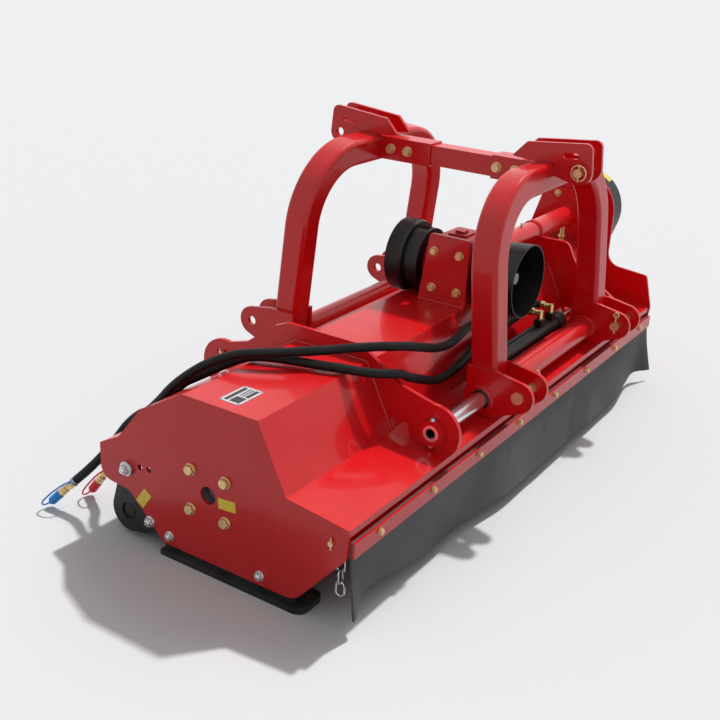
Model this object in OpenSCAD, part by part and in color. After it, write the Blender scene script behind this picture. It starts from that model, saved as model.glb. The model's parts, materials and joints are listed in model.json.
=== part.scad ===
// Side-shift flail mower with a three-point hitch on both sides. Millimetres, +Z up.
// X runs along the deck. The rubber flap hangs on the -Y side and the roller is on the +Y side.
// Heights marked "above the rotor" and distances "from the rotor" are measured from the rotor axis.

/* [Deck shell] */
// Length of the deck over its two end plates
deck_len = 1982; // [1800:2:2200]
// Thickness of the bent shell sheet
shell_t = 5; // [4:0.5:8]
// Height of the rotor axis above the ground
rotor_z = 225; // [220:1:240]
// Distance of the rotor axis from the middle plane of the hitch
rotor_y = 12; // [0:1:20]
// Height of the deck top above the rotor
top_h = 248; // [240:1:260]
// Front edge of the deck top, from the rotor
top_front_y = 81; // [70:1:95]
// Rear edge of the deck top, from the rotor
top_rear_y = 150; // [140:1:165]
// Foot of the rear slope, from the rotor
foot_y = 237; // [225:1:245]
// Foot of the rear slope, above the rotor
foot_h = 76; // [72:1:85]
// Outer edge of the rear shelf, from the rotor
shelf_y = 415; // [405:1:425]
// Outer edge of the rear shelf, above the rotor
shelf_h = 54; // [48:1:60]
// Depth of the hem on the rear shelf
shelf_hem = 18; // [10:1:20]
// Bend in the front slope, from the rotor
knee_y = 221; // [210:1:230]
// Bend in the front slope, above the rotor
knee_h = 166; // [155:1:175]
// Low end of the front slope, from the rotor
brow_y = 300; // [290:1:306]
// Low end of the front slope, above the rotor
brow_h = 66; // [60:1:75]
// Front lip, from the rotor
lip_y = 366; // [360:1:370]
// Front lip, above the rotor
lip_h = 31; // [26:1:36]
// Depth of the hem on the front lip
lip_hem = 45; // [30:1:60]

/* [End plates] */
// Thickness of each end plate
plate_t = 8; // [6:0.5:12]
// How far the plate outline stands outside the shell
plate_lap = 2; // [1:0.5:4]
// Bottom edge of the end plates, below the rotor
plate_drop = 192; // [185:1:200]
// Lower end of the upright front edge, below the rotor
nose_drop = 70; // [60:1:76]
// Front step of the lower edge, from the rotor
chin_y = 268; // [260:1:275]
// Front end of the bottom edge, from the rotor
heel_y = 152; // [145:1:160]
// Rear end of the bottom edge, from the rotor
tail_y = 268; // [255:1:280]
// Lower end of the upright rear edge, below the rotor
tail_drop = 22; // [15:1:30]
// Rear height of the far end plate, above the rotor
far_rear_h = 168; // [160:1:175]
// Radius of the belt tower on the far end plate
tower_r = 145; // [138:1:150]
// Set back of the belt tower's centre from the rotor
tower_y = 88; // [80:1:95]
// Height of the belt tower's centre over the gearbox shafts
tower_up = 16; // [10:1:22]

/* [Side shift] */
// Distance of each slide rod from the hitch's middle plane
rod_y = 351; // [345:1:356]
// Height of the slide rods above the ground
rod_h = 335; // [330:1:342]
// Diameter of the chromed slide rods
rod_d = 45; // [40:1:48]
// Bore of the hollow slide rods
rod_bore = 28; // [20:1:32]
// Thickness of the slide brackets
bracket_t = 12; // [10:1:16]
// Free way of the hitch frame to the near bracket
near_travel = 252; // [245:1:260]
// Free way of the hitch frame to the far bracket
far_travel = 48; // [40:1:60]
// Radius of the round lobes that hold the rods
lobe_r = 76; // [70:1:80]
// Height of the slide brackets over the deck top
bracket_rise = 45; // [35:1:55]
// Outer diameter of the collars on the rod ends
collar_d = 72; // [66:1:78]
// Length of the collars on the rod ends
collar_t = 16; // [14:1:20]
// Diameter of the bolt through each collar
collar_bolt_d = 10; // [8:1:12]

/* [Hitch frame] */
// Middle of the hitch frame as drawn, from the near end
hitch_x = 1144; // [1140:1:1150]
// Distance between the middles of the arch legs
leg_span = 733; // [715:1:745]
// Outside width of the square arch tube
tube_w = 80; // [74:1:84]
// Wall of the arch tube
tube_wall = 6; // [4:0.5:8]
// Outside corner radius of the arch tube
tube_corner = 14; // [10:1:18]
// Middle radius of the arch bends
bend_r = 203; // [190:1:212]
// Height of the arch's top tube middle above the rods, along the lean
mast_h = 558; // [545:1:570]
// Lean of both arches towards each other, in degrees
lean = 5.8; // [4:0.2:7]
// Outer diameter of the sliding sleeves
sleeve_d = 70; // [66:1:74]
// Outer diameter of the bushes in the sleeves
bush_d = 56; // [52:1:60]
// Length of each bush
bush_len = 60; // [40:1:80]
// Running clearance of the bushes on the rods
bush_gap = 0.05; // [0.02:0.01:0.08]
// Thickness of the lower lug plates
lug_t = 12; // [10:1:16]
// Distance of the lower hitch holes from the middle plane
lug_y = 460; // [455:1:470]
// Height of the lower hitch holes above the ground
lug_h = 368; // [360:1:375]
// Radius of the rounded lug ends
lug_r = 45; // [40:1:50]
// Radius of the lug plates round the sleeve
lug_rod_r = 56; // [52:1:60]
// Height of the lug plates beside the legs, above the rods
lug_rise = 90; // [80:1:100]
// Diameter of the lower hitch holes
lower_hole_d = 29; // [28:0.5:32]
// Diameter of the lower hitch pins
lower_pin_d = 28.4; // [25:0.1:28.4]
// Gap between the two plates of a top link pair
top_gap = 60; // [50:1:70]
// Thickness of the top link plates
top_t = 12; // [10:1:16]
// Diameter of the top link holes
top_hole_d = 26; // [25.5:0.1:28]
// Diameter of the top link pin
top_pin_d = 25.4; // [22:0.1:25.4]
// Reach of the top link hole outside the arch's middle
top_hole_y = 117; // [112:1:122]
// Height of the top link hole over the arch's top tube middle
top_hole_h = 16; // [10:1:20]
// Outside width of the mast tube
mast_w = 60; // [55:1:62]
// Outside width of the collars for the mast tube
socket_w = 70; // [68:1:72]
// Inner end of the collar on the flap side, from the middle plane
flap_socket_y = 129; // [120:1:140]
// Inner end of the collar on the roller side, from the middle plane
roller_socket_y = 80; // [70:1:90]
// Diameter of the mast bolts
mast_bolt_d = 16; // [14:1:18]

/* [Side-shift cylinder] */
// Outer diameter of the cylinder barrel
barrel_d = 50; // [46:1:54]
// Diameter of the piston rod
piston_rod_d = 25; // [22:1:28]
// Set of the cylinder inside the rod, across the deck
cyl_in = 68; // [66:1:72]
// Height of the cylinder over the rod
cyl_up = 26; // [24:1:32]
// Far end of the barrel, from the middle of the hitch
barrel_reach = 262; // [250:1:270]

/* [Gearbox and drive] */
// Middle of the gearbox, from the near end
gear_x = 1085; // [1080:1:1095]
// Set back of the gearbox from the rotor
gear_y = 76; // [70:1:82]
// Height of the gearbox shafts over the deck top
gear_rise = 102; // [98:1:106]
// Width of the gearbox along the deck
gear_w = 146; // [140:1:152]
// Depth of the gearbox across the deck
gear_d = 150; // [144:1:156]
// Height of the gearbox over its shafts
gear_up = 100; // [95:1:105]
// Thickness of the stand's plates
stand_t = 12; // [10:1:16]
// Spacing of the stand bolts across the deck
stand_pitch_y = 86; // [80:1:92]
// Spacing of the stand bolts in height
stand_pitch_z = 115; // [108:1:120]
// Diameter of the splined input shaft
input_d = 34.9; // [30:0.1:36]
// Diameter of the cross shaft
cross_d = 30; // [26:1:32]
// Outer diameter of the tube round the cross shaft
torque_d = 70; // [64:1:76]
// Wall of that tube
torque_wall = 6; // [4:0.5:8]
// Teeth ratio of the bevel gears
gear_ratio = 3; // [2.5:0.1:3.2]
// Pitch radius of the large bevel gear
big_gear_r = 54; // [50:1:56]
// Radius of the flap side shield at its rim
flap_shield_r = 112; // [106:1:116]
// Radius of the roller side shield at its rim
roller_shield_r = 115; // [110:1:118]
// Length of the flap side shield
flap_shield_len = 138; // [125:1:140]
// Length of the roller side shield
roller_shield_len = 104; // [98:1:112]
// Wall of the shields
shield_t = 4; // [3:0.5:6]
// Outer radius of the drive pulley
drive_r = 84; // [78:1:86]
// Outer radius of the driven pulley
driven_r = 70; // [64:1:76]
// Number of V-belts
belt_n = 3; // [2:1:3]
// Spacing of the V-belts
belt_pitch = 17; // [16:0.5:17]
// Depth of the belt guard
guard_depth = 72; // [68:1:76]
// Wall of the belt guard
guard_t = 3; // [2:0.5:4]
// Radius of the belt guard's lower end
guard_low_r = 112; // [105:1:118]

/* [Rotor] */
// Outer diameter of the rotor tube
rotor_d = 150; // [140:1:154]
// Wall of the rotor tube
rotor_wall = 12; // [8:1:16]
// Diameter of the rotor's stub shafts
stub_d = 50; // [45:1:50]
// Spacing of the flange bearing bolts
bearing_pitch = 111; // [105:1:116]
// Radius of the circle of hammer bolts
hammer_pcr = 100; // [98:1:104]
// Length of a hammer beyond its bolt
hammer_len = 98; // [90:1:104]
// Diameter of the hammer bolts
hammer_bolt_d = 16; // [14:1:18]
// Hammers in each row
hammer_n = 8; // [6:1:9]

/* [Roller and skids] */
// Diameter of the roller
roller_d = 150; // [140:1:156]
// Roller axis, from the rotor
roller_y = 281; // [276:1:286]
// Pivot bolt of the roller brackets, from the rotor
pivot_y = 198; // [194:1:202]
// Pivot bolt of the roller brackets, below the rotor
pivot_drop = 147; // [142:1:150]
// Radius of the row of height holes round the pivot bolt
height_r = 152; // [148:1:154]
// Width of the skid runners
skid_w = 98; // [90:1:104]
// Thickness of the skid flanges
skid_t = 10; // [8:1:12]

/* [Flap and chains] */
// Height of the flap strip
strip_h = 41; // [36:1:44]
// Thickness of the flap strip
strip_t = 6; // [4:0.5:8]
// Top edge of the flap strip, above the rotor
strip_top = 22; // [16:1:24]
// Pitch of the strip bolts
strip_pitch = 250; // [200:1:280]
// Thickness of the rubber flap
rubber_t = 6; // [5:0.5:8]
// Bottom edge of the rubber flap, above the ground
flap_clear = 40; // [30:1:50]
// Chain rod, from the rotor
chain_y = 370; // [362:1:376]
// Diameter of the chain rod
chain_rod_d = 14; // [12:1:15]
// Number of chain strands
strand_n = 16; // [10:1:18]

/* [Hoses] */
// Outer diameter of the hoses in their sleeving
hose_d = 26; // [24:1:28]

/* [Hidden] */
$fn = 48;

// Clearances
seat_gap = 0.3;
hole_gap = 0.5;
shaft_gap = 0.05;
deck_clear = 3;

// Hexagon fasteners: head height and width over flats follow the shank
function head_h(d) = 0.65 * d;
function hex_r(d) = 0.87 * d;
washer_t = 3;
bearing_bolt_d = 16;
// How far the height bolts' spacers stand out from the end plates
adjust_proud = 10.4;
spacer_r = 20;

// Places along the deck
end_proud = adjust_proud + bearing_bolt_d;
x_near = end_proud - (end_proud + deck_len + guard_depth) / 2;
x_far = x_near + deck_len;
x_near_in = x_near + plate_t;
x_far_in = x_far - plate_t;
x_hitch = x_near + hitch_x;
x_gear = x_near + gear_x;
frame_half = leg_span / 2 + tube_w / 2 + lug_t;
x_near_bracket = x_hitch - frame_half - near_travel - bracket_t;
x_far_bracket = x_hitch + frame_half + far_travel;

// Places across the deck and in height
y_gear = rotor_y - gear_y;
gear_h = top_h + gear_rise;
tower_h = gear_h + tower_up;
z_gear = rotor_z + gear_h;
z_top = rotor_z + top_h;
y_tower = rotor_y - tower_y;
z_tower = rotor_z + tower_h;
roller_z = roller_d / 2;
y_cyl = -rod_y + cyl_in;
z_cyl = rod_h + cyl_up;
y_strip = rotor_y - shelf_y;
z_strip = rotor_z + strip_top;
y_chain = rotor_y - chain_y;
z_chain = rotor_z + 8;

red = [0.78, 0.05, 0.07];
black = [0.06, 0.06, 0.065];
zinc = [0.80, 0.70, 0.45];
steel = [0.70, 0.71, 0.73];

// Moves a point list from rotor coordinates to the ground frame
function at_rotor(pts) = [for (p = pts) [p[0] + rotor_y, p[1] + rotor_z]];

// Polygon with each corner rounded to its own radius by an arc of n steps
function unit(v) = v / norm(v);
function corner_arc(a, p, b, r, n) =
    let (u = unit(a - p), v = unit(b - p), half = acos(u * v) / 2, run = r / tan(half),
        c = p + unit(u + v) * r / sin(half), s = p + u * run - c, e = p + v * run - c,
        turn = 180 - 2 * half, side = sign(s[0] * e[1] - s[1] * e[0]))
    [for (i = [0 : n]) let (w = side * turn * i / n)
        c + [s[0] * cos(w) - s[1] * sin(w), s[0] * sin(w) + s[1] * cos(w)]];
function rounded(pts, rads, n = 6) = let (m = len(pts))
    [for (i = [0 : m - 1]) each rads[i] > 0
        ? corner_arc(pts[(i + m - 1) % m], pts[i], pts[(i + 1) % m], rads[i], n) : [pts[i]]];

// Outline of two circles and their outer tangents
function two_rounds(p, r, q, s, n = 20) =
    let (d = norm(q - p), a = atan2(q[1] - p[1], q[0] - p[0]), f = acos((r - s) / d))
    concat([for (i = [0 : n]) let (w = a + f + (360 - 2 * f) * i / n) p + r * [cos(w), sin(w)]],
        [for (i = [0 : n]) let (w = a - f + 2 * f * i / n) q + s * [cos(w), sin(w)]]);

// Sheet of thickness t on the left of an open line of points, with mitred bends
function side_of(a, b) = let (d = unit(b - a)) [-d[1], d[0]];
function sheet(pts, t) = let (m = len(pts), inner = [for (i = [0 : m - 1])
        let (p = side_of(pts[max(i - 1, 0)], pts[max(i, 1)]),
            q = side_of(pts[min(i, m - 2)], pts[min(i + 1, m - 1)]))
        pts[i] + t * (p + q) / (1 + p * q)])
    concat(pts, [for (i = [m - 1 : -1 : 0]) inner[i]]);

// Extrudes a (Y, Z) outline along X
module along_x(x0, l) { translate([x0, 0, 0]) rotate([90, 0, 90]) linear_extrude(l) children(); }
// Round bar along X, Y or Z from one end point
module bar_x(x0, x1, y, z, r) { translate([x0, y, z]) rotate([0, 90, 0]) cylinder(h = x1 - x0, r = r); }
module bar_y(x, y0, y1, z, r) { translate([x, y0, z]) rotate([-90, 0, 0]) cylinder(h = y1 - y0, r = r); }
// Turns a profile (radius, position) round an axis along X or Y
module turn_x(x, y, z) { translate([x, y, z]) rotate([0, 90, 0]) rotate_extrude() children(); }
module turn_y(x, y, z) { translate([x, y, z]) rotate([-90, 0, 0]) rotate_extrude() children(); }
// Mirrors in the plane at one y
module mirror_y(y) { translate([0, 2 * y, 0]) mirror([0, 1, 0]) children(); }

// Bolt along X through a grip: head and washer at x0, nut at the other end. dir is the way it points.
module bolt_x(x0, grip, y, z, d, dir = 1) {
    translate([x0 - dir * washer_t, y, z]) rotate([0, dir * 90, 0]) {
        translate([0, 0, -head_h(d)]) cylinder(h = head_h(d), r = hex_r(d), $fn = 6);
        cylinder(h = washer_t, r = hex_r(d) * 1.15);
        cylinder(h = grip + washer_t + d, r = d / 2);
        translate([0, 0, grip + washer_t]) cylinder(h = head_h(d), r = hex_r(d), $fn = 6);
    }
}

// Bent deck sheet, from the front hem over the top to the rear hem
deck_line = at_rotor([[lip_y, lip_h - lip_hem], [lip_y, lip_h], [brow_y, brow_h], [knee_y, knee_h],
    [top_front_y, top_h], [-top_rear_y, top_h], [-foot_y, foot_h], [-shelf_y, shelf_h],
    [-shelf_y, shelf_h - shelf_hem]]);
module deck_shell() {
    color(red) along_x(x_near_in, deck_len - 2 * plate_t) polygon(sheet(deck_line, shell_t));
}

// Bolts that the end plates share with the pieces behind them
bearing_bolts = [for (a = [-1, 1], b = [-1, 1])
    [rotor_y + a * bearing_pitch / 2, rotor_z + b * bearing_pitch / 2]];
skid_bolts = at_rotor([[heel_y - 22, -plate_drop + 27], [-heel_y - 11, -plate_drop + 27]]);
height_angles = [61.5, 78.5, 90.5];
pivot = at_rotor([[pivot_y, -pivot_drop]])[0];
height_holes = [for (a = height_angles) pivot + height_r * [cos(a), sin(a)]];
skid_bolt_d = 14;
stub_hole_r = stub_d / 2 + 4;
sight_hole_r = stub_d / 2 - 1;
module plate_holes(shaft_r) {
    for (p = concat(bearing_bolts, height_holes, [pivot]))
        translate(p) circle(d = bearing_bolt_d + hole_gap);
    for (p = skid_bolts) translate(p) circle(d = skid_bolt_d + hole_gap);
    translate([rotor_y, rotor_z]) circle(r = shaft_r);
    translate([y_chain, z_chain]) circle(d = chain_rod_d);
}

// Lower edge of both end plates, from the front tip to the rear edge
plate_nose = lip_y + 4;
plate_low = [[plate_nose, lip_h - 2], [plate_nose, -nose_drop], [chin_y, -nose_drop - 8],
    [heel_y, -plate_drop], [-tail_y, -plate_drop], [-shelf_y + 3, -tail_drop]];
plate_low_r = [6, 40, 30, 20, 60, 12];
plate_front = [[knee_y, knee_h + plate_lap], [brow_y, brow_h + plate_lap], [plate_nose - 12, lip_h + 5]];
plate_front_r = [30, 40, 6];
near_plate_top = [[-shelf_y, shelf_h + plate_lap], [-foot_y, foot_h + plate_lap],
    [-top_rear_y, top_h + plate_lap], [top_front_y, top_h + plate_lap]];
module near_end_plate() {
    color(red) along_x(x_near, plate_t) difference() {
        polygon(rounded(at_rotor(concat(plate_low, near_plate_top, plate_front)),
            concat(plate_low_r, [0, 0, 0, 0], plate_front_r)));
        plate_holes(sight_hole_r);
    }
}

// The far end plate is higher at the rear and rises into a round tower for the belt drive
tower_front_y = 150;
far_plate_top = [[-shelf_y - 5, shelf_h], [-shelf_y + 25, far_rear_h], [-tower_y - tower_r, far_rear_h + 15],
    [-tower_y - tower_r, tower_h], [tower_front_y, top_h - 40]];
module far_end_plate() {
    color(red) along_x(x_far_in, plate_t) difference() {
        union() {
            polygon(rounded(at_rotor(concat(plate_low, far_plate_top, plate_front)),
                concat(plate_low_r, [8, 14, 50, 0, 0], plate_front_r)));
            polygon(two_rounds([y_tower, z_tower], tower_r, [rotor_y + 30, rotor_z + 60], tower_r - 25));
        }
        plate_holes(stub_hole_r);
        translate([y_gear, z_gear]) circle(r = cross_d / 2 + 6);
        for (p = tube_bolts) translate(p) circle(d = tube_bolt_d + hole_gap);
    }
}

// Slide brackets straddle the deck and hold both rods in round lobes
rod_places = [[-rod_y, rod_h], [rod_y, rod_h]];
module deck_cut() {
    polygon(concat(deck_line, at_rotor([[-shelf_y, -plate_drop], [lip_y, -plate_drop]])));
}
module bracket_outline(crest) {
    difference() {
        union() {
            for (p = rod_places) translate(p) circle(r = lobe_r);
            polygon(crest);
        }
        deck_cut();
        for (p = rod_places) translate(p) circle(d = rod_d);
    }
}
near_crest = concat([[-rod_y - lobe_r * 0.5, rod_h + lobe_r * 0.866], [-rod_y + 108, rod_h + 102]],
    at_rotor([[-top_rear_y + 24, top_h + bracket_rise], [top_front_y + 31, top_h + bracket_rise],
        [top_front_y + 75, top_h + bracket_rise - 18]]),
    [[rod_y - 85, rod_h + 92], [rod_y - 18, rod_h + lobe_r * 0.96], [rod_y, rod_h], [-rod_y, rod_h]]);
// Two empty bolt holes in the lobes on the roller side
spare_hole_d = 14;
spare_holes = [for (a = [62, 4]) [rod_y, rod_h] + 42 * [cos(a), sin(a)]];
module near_slide_bracket() {
    color(red) along_x(x_near_bracket, bracket_t) difference() {
        bracket_outline(near_crest);
        for (p = spare_holes) translate(p) circle(d = spare_hole_d);
    }
}
// The far bracket also carries the tube of the cross shaft and the end of the piston rod
far_crest_h = z_gear - 12;
far_crest = rounded([[-rod_y - lobe_r * 0.5, rod_h + lobe_r * 0.866], [y_gear - 170, far_crest_h - 60],
    [y_gear - 140, far_crest_h], [y_gear + 75, far_crest_h], [rotor_y + top_front_y + 75, z_top + 30],
    [rod_y - 85, rod_h + 92], [rod_y - 18, rod_h + lobe_r * 0.96], [rod_y, rod_h], [-rod_y, rod_h]],
    [0, 30, 30, 20, 30, 0, 0, 0, 0]);
module far_slide_bracket() {
    color(red) along_x(x_far_bracket, bracket_t) difference() {
        bracket_outline(far_crest);
        translate([y_gear, z_gear]) circle(d = torque_d);
        translate([y_cyl, z_cyl]) circle(d = piston_rod_d);
        for (p = spare_holes) translate(p) circle(d = spare_hole_d);
    }
}

// Hollow rods with a bolted collar at each end, outside the brackets
x_rod0 = x_near_bracket - collar_t;
x_rod1 = x_far_bracket + bracket_t + collar_t;
collar_xs = [x_rod0, x_far_bracket + bracket_t];
module slide_rod(y) {
    difference() {
        bar_x(x_rod0, x_rod1, y, rod_h, rod_d / 2);
        bar_x(x_rod0 - 1, x_rod1 + 1, y, rod_h, rod_bore / 2);
        collar_holes(y);
    }
}
module collar_holes(y) {
    for (x = collar_xs) translate([x + collar_t / 2, y, rod_h - collar_d])
        cylinder(h = 2 * collar_d, d = collar_bolt_d);
}
module flap_side_rod() { color(steel) slide_rod(-rod_y); }
module roller_side_rod() { color(steel) slide_rod(rod_y); }
module rod_collars() {
    for (p = rod_places) color(red) difference() {
        for (x = collar_xs) bar_x(x, x + collar_t, p[0], p[1], collar_d / 2);
        bar_x(x_rod0 - 1, x_rod1 + 1, p[0], p[1], rod_d / 2);
        collar_holes(p[0]);
    }
}
module collar_bolts() {
    h = head_h(collar_bolt_d);
    for (p = rod_places, x = collar_xs) color(zinc)
        translate([x + collar_t / 2, p[0], p[1] - collar_d / 2]) {
            translate([0, 0, -h]) cylinder(h = collar_d + 2 * h + 3, d = collar_bolt_d);
            for (z = [-h, collar_d]) translate([0, 0, z])
                cylinder(h = h, r = hex_r(collar_bolt_d) * 0.9, $fn = 6);
        }
}

// Gearbox: stand on the deck, cast housing, bearings, plug
x_gear0 = x_gear - gear_w / 2;
x_gear1 = x_gear + gear_w / 2;
stand_base = 10;
z_gear0 = z_top + stand_base;
z_gear1 = z_gear + gear_up;
stand_bolt_d = 14;
stand_holes = [for (a = [-1, 1], b = [-1, 1])
    [y_gear + a * stand_pitch_y / 2, z_gear + b * stand_pitch_z / 2]];
stand_back = 95;
stand_fore = 90;
stand_y0 = max(y_gear - stand_back, rotor_y - top_rear_y);
stand_y1 = y_gear + stand_fore;
module gearbox_stand() {
    color(red) {
        along_x(x_gear0 - stand_t, stand_t) difference() {
            polygon(rounded([[stand_y0, z_top], [stand_y1, z_top], [y_gear + 62, z_gear1 + 10],
                [y_gear - 74, z_gear1 + 10]], [0, 0, 8, 8]));
            for (p = stand_holes) translate(p) circle(d = stand_bolt_d);
        }
        translate([x_gear0, stand_y0, z_top]) cube([gear_w, stand_y1 - stand_y0, stand_base]);
    }
}
neck_len = 22;
neck_r = 60;
gear_wall = 10;
input_seat_r = 31;
cross_seat_r = 29;
module gearbox_housing() {
    z0 = z_gear0;
    color(red) difference() {
        union() {
            along_x(x_gear0, gear_w) polygon(rounded([[y_gear - gear_d / 2, z0], [y_gear + gear_d / 2, z0],
                [y_gear + gear_d / 2, z_gear1], [y_gear - gear_d / 2, z_gear1]], [18, 18, 34, 34]));
            bar_y(x_gear, y_gear - gear_d / 2 - neck_len, y_gear + gear_d / 2 + neck_len, z_gear, neck_r);
            bar_x(x_gear1, x_gear1 + neck_len, y_gear, z_gear, neck_r);
        }
        translate([x_gear0 + gear_wall, y_gear - gear_d / 2 + gear_wall, z0 + gear_wall])
            cube([gear_w - 2 * gear_wall, gear_d - 2 * gear_wall, z_gear1 - z0 - 2 * gear_wall]);
        bar_y(x_gear, y_gear - gear_d, y_gear + gear_d, z_gear, input_seat_r);
        bar_x(x_gear, x_gear1 + neck_len + 1, y_gear, z_gear, cross_seat_r);
        translate([x_gear, y_gear, z_gear1 - gear_wall - 1]) cylinder(h = gear_wall + 2, r = plug_r);
        for (p = stand_holes) bar_x(x_gear0 - 1, x_gear0 + gear_wall + 1, p[0], p[1], stand_bolt_d / 2);
    }
}
plug_r = 14;
plug_cap = 15;
module gearbox_plug() {
    color(red) translate([x_gear, y_gear, z_gear1]) {
        translate([-2 * plug_cap, -2 * plug_cap, 0]) cube([4 * plug_cap, 4 * plug_cap, 5]);
        translate([-plug_cap, -plug_cap, 5]) cube([2 * plug_cap, 2 * plug_cap, 8]);
        translate([0, 0, -gear_wall]) cylinder(h = gear_wall, r = plug_r);
    }
}
module ring_y(y0, y1, r_out, r_in) {
    difference() {
        bar_y(x_gear, y0, y1, z_gear, r_out);
        bar_y(x_gear, y0 - 1, y1 + 1, z_gear, r_in);
    }
}
module ring_x(x0, x1, r_out, r_in) {
    difference() {
        bar_x(x0, x1, y_gear, z_gear, r_out);
        bar_x(x0 - 1, x1 + 1, y_gear, z_gear, r_in);
    }
}
x_tube0 = x_gear1 + neck_len;
module drive_bearings() {
    color(steel) {
        for (s = [-1, 1]) {
            y_out = y_gear + s * (gear_d / 2 + neck_len);
            y_in = y_gear + s * (gear_d / 2 - gear_wall);
            ring_y(min(y_out, y_in), max(y_out, y_in), input_seat_r, journal_r + shaft_gap);
        }
        ring_x(x_gear1 - gear_wall, x_tube0, cross_seat_r, cross_d / 2 + shaft_gap);
        ring_x(x_far_in - 30, x_far_in, torque_d / 2 - torque_wall, cross_d / 2 + shaft_gap);
    }
}

// Tube round the cross shaft, with a round flange on the gearbox and a square one on the end plate
tube_flange = 170;
tube_flange_t = 10;
tube_bolt_d = 14;
tube_bolts = [for (a = [-1, 1], b = [-1, 1]) [y_gear, z_gear] + [a, b] * (tube_flange / 2 - 22)];
module torque_tube() {
    color(red) difference() {
        union() {
            bar_x(x_tube0, x_far_in, y_gear, z_gear, torque_d / 2);
            bar_x(x_tube0, x_tube0 + 12, y_gear, z_gear, neck_r);
            along_x(x_far_in - tube_flange_t, tube_flange_t) polygon(rounded(
                [for (c = [[-1, -1], [1, -1], [1, 1], [-1, 1]]) [y_gear, z_gear] + c * tube_flange / 2],
                [14, 14, 14, 14]));
        }
        bar_x(x_tube0 - 1, x_far_in + 1, y_gear, z_gear, torque_d / 2 - torque_wall);
        for (p = tube_bolts) bar_x(x_far_in - 20, x_far_in + 1, p[0], p[1], (tube_bolt_d + hole_gap) / 2);
    }
}

// Pulleys and belts on the outside of the far end plate
belt_h = 10;
belt_w = 13;
pulley_w = belt_n * belt_pitch + 2;
x_pulley = x_far + head_h(bearing_bolt_d) + washer_t + 0.8;
belt_xs = [for (i = [0 : belt_n - 1]) x_pulley + 1 + belt_pitch * (i + 0.5)];
module pulley(y, z, r, bore) {
    color(steel) difference() {
        bar_x(x_pulley, x_pulley + pulley_w, y, z, r);
        for (x = belt_xs) difference() {
            bar_x(x - belt_w / 2 - 1, x + belt_w / 2 + 1, y, z, r + 1);
            bar_x(x - belt_w / 2 - 2, x + belt_w / 2 + 2, y, z, r - belt_h - 1);
        }
        bar_x(x_pulley - 1, x_pulley + pulley_w + 1, y, z, bore);
    }
}
module drive_pulley() { pulley(y_gear, z_gear, drive_r, cross_d / 2); }
module driven_pulley() { pulley(rotor_y, rotor_z, driven_r, stub_d / 2); }
module drive_belts() {
    for (x = belt_xs) color(black) along_x(x - belt_w / 2, belt_w) difference() {
        polygon(two_rounds([y_gear, z_gear], drive_r, [rotor_y, rotor_z], driven_r));
        polygon(two_rounds([y_gear, z_gear], drive_r - belt_h, [rotor_y, rotor_z], driven_r - belt_h));
    }
}
guard_outer = two_rounds([y_tower, z_tower], tower_r, [rotor_y, rotor_z], guard_low_r);
guard_inner = two_rounds([y_tower, z_tower], tower_r - guard_t, [rotor_y, rotor_z], guard_low_r - guard_t);
module belt_guard() {
    color(black) {
        along_x(x_far, guard_depth - guard_t) difference() {
            polygon(guard_outer);
            polygon(guard_inner);
        }
        along_x(x_far + guard_depth - guard_t, guard_t) polygon(guard_outer);
    }
}

// Shields round the ends of the input shaft, bolted to the gearbox necks
y_neck0 = y_gear - gear_d / 2 - neck_len;
y_neck1 = y_gear + gear_d / 2 + neck_len;
shield_hole = 45;
module flap_side_shield() {
    r0 = flap_shield_r - 12;
    color(black) mirror_y(y_neck0) turn_y(x_gear, y_neck0, z_gear) polygon([
        [shield_hole, 0], [r0, 0], [flap_shield_r, flap_shield_len],
        [flap_shield_r - shield_t, flap_shield_len], [r0 - shield_t, shield_t], [shield_hole, shield_t]]);
}
notch_w = 36;
notch_len = 34;
notch_y = 12;
cup_len = 52;
module roller_side_shield() {
    r1 = roller_shield_r;
    r0 = r1 - 17;
    cup = roller_shield_len - cup_len;
    color(black) difference() {
        turn_y(x_gear, y_neck1, z_gear) polygon([
            [shield_hole, 0], [r0, 0], [r0, cup - shield_t], [r1 - 4, cup - shield_t], [r1, cup + 6],
            [r1, roller_shield_len], [r1 - shield_t, roller_shield_len], [r1 - shield_t, cup + 8],
            [r0 - shield_t, cup + 4], [r0 - shield_t, shield_t], [shield_hole, shield_t]]);
        translate([x_gear - notch_w / 2, y_neck1 + notch_y, z_gear]) cube([notch_w, notch_len, 2 * r1]);
        along_x(x_gear - r1, 2 * r1) translate([0, deck_clear]) deck_cut();
    }
}

// Flange bearings inside both end plates
bearing_sq = 143;
bearing_base = 16;
bearing_len = 54;
module flange_bearing(x, dir) {
    x0 = min(x, x + dir * bearing_base);
    h0 = min(x, x + dir * bearing_len);
    color(steel) difference() {
        union() {
            along_x(x0, bearing_base) polygon(rounded([for (c = [[-1, -1], [1, -1], [1, 1], [-1, 1]])
                [rotor_y, rotor_z] + c * bearing_sq / 2], [16, 16, 16, 16]));
            bar_x(h0, h0 + bearing_len, rotor_y, rotor_z, 46);
        }
        bar_x(h0 - 1, h0 + bearing_len + 1, rotor_y, rotor_z, stub_d / 2 + shaft_gap);
        for (p = bearing_bolts)
            bar_x(x0 - 1, x0 + bearing_base + 1, p[0], p[1], (bearing_bolt_d + hole_gap) / 2);
    }
}
module rotor_bearings() {
    flange_bearing(x_near_in, 1);
    flange_bearing(x_far_in, -1);
}

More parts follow.
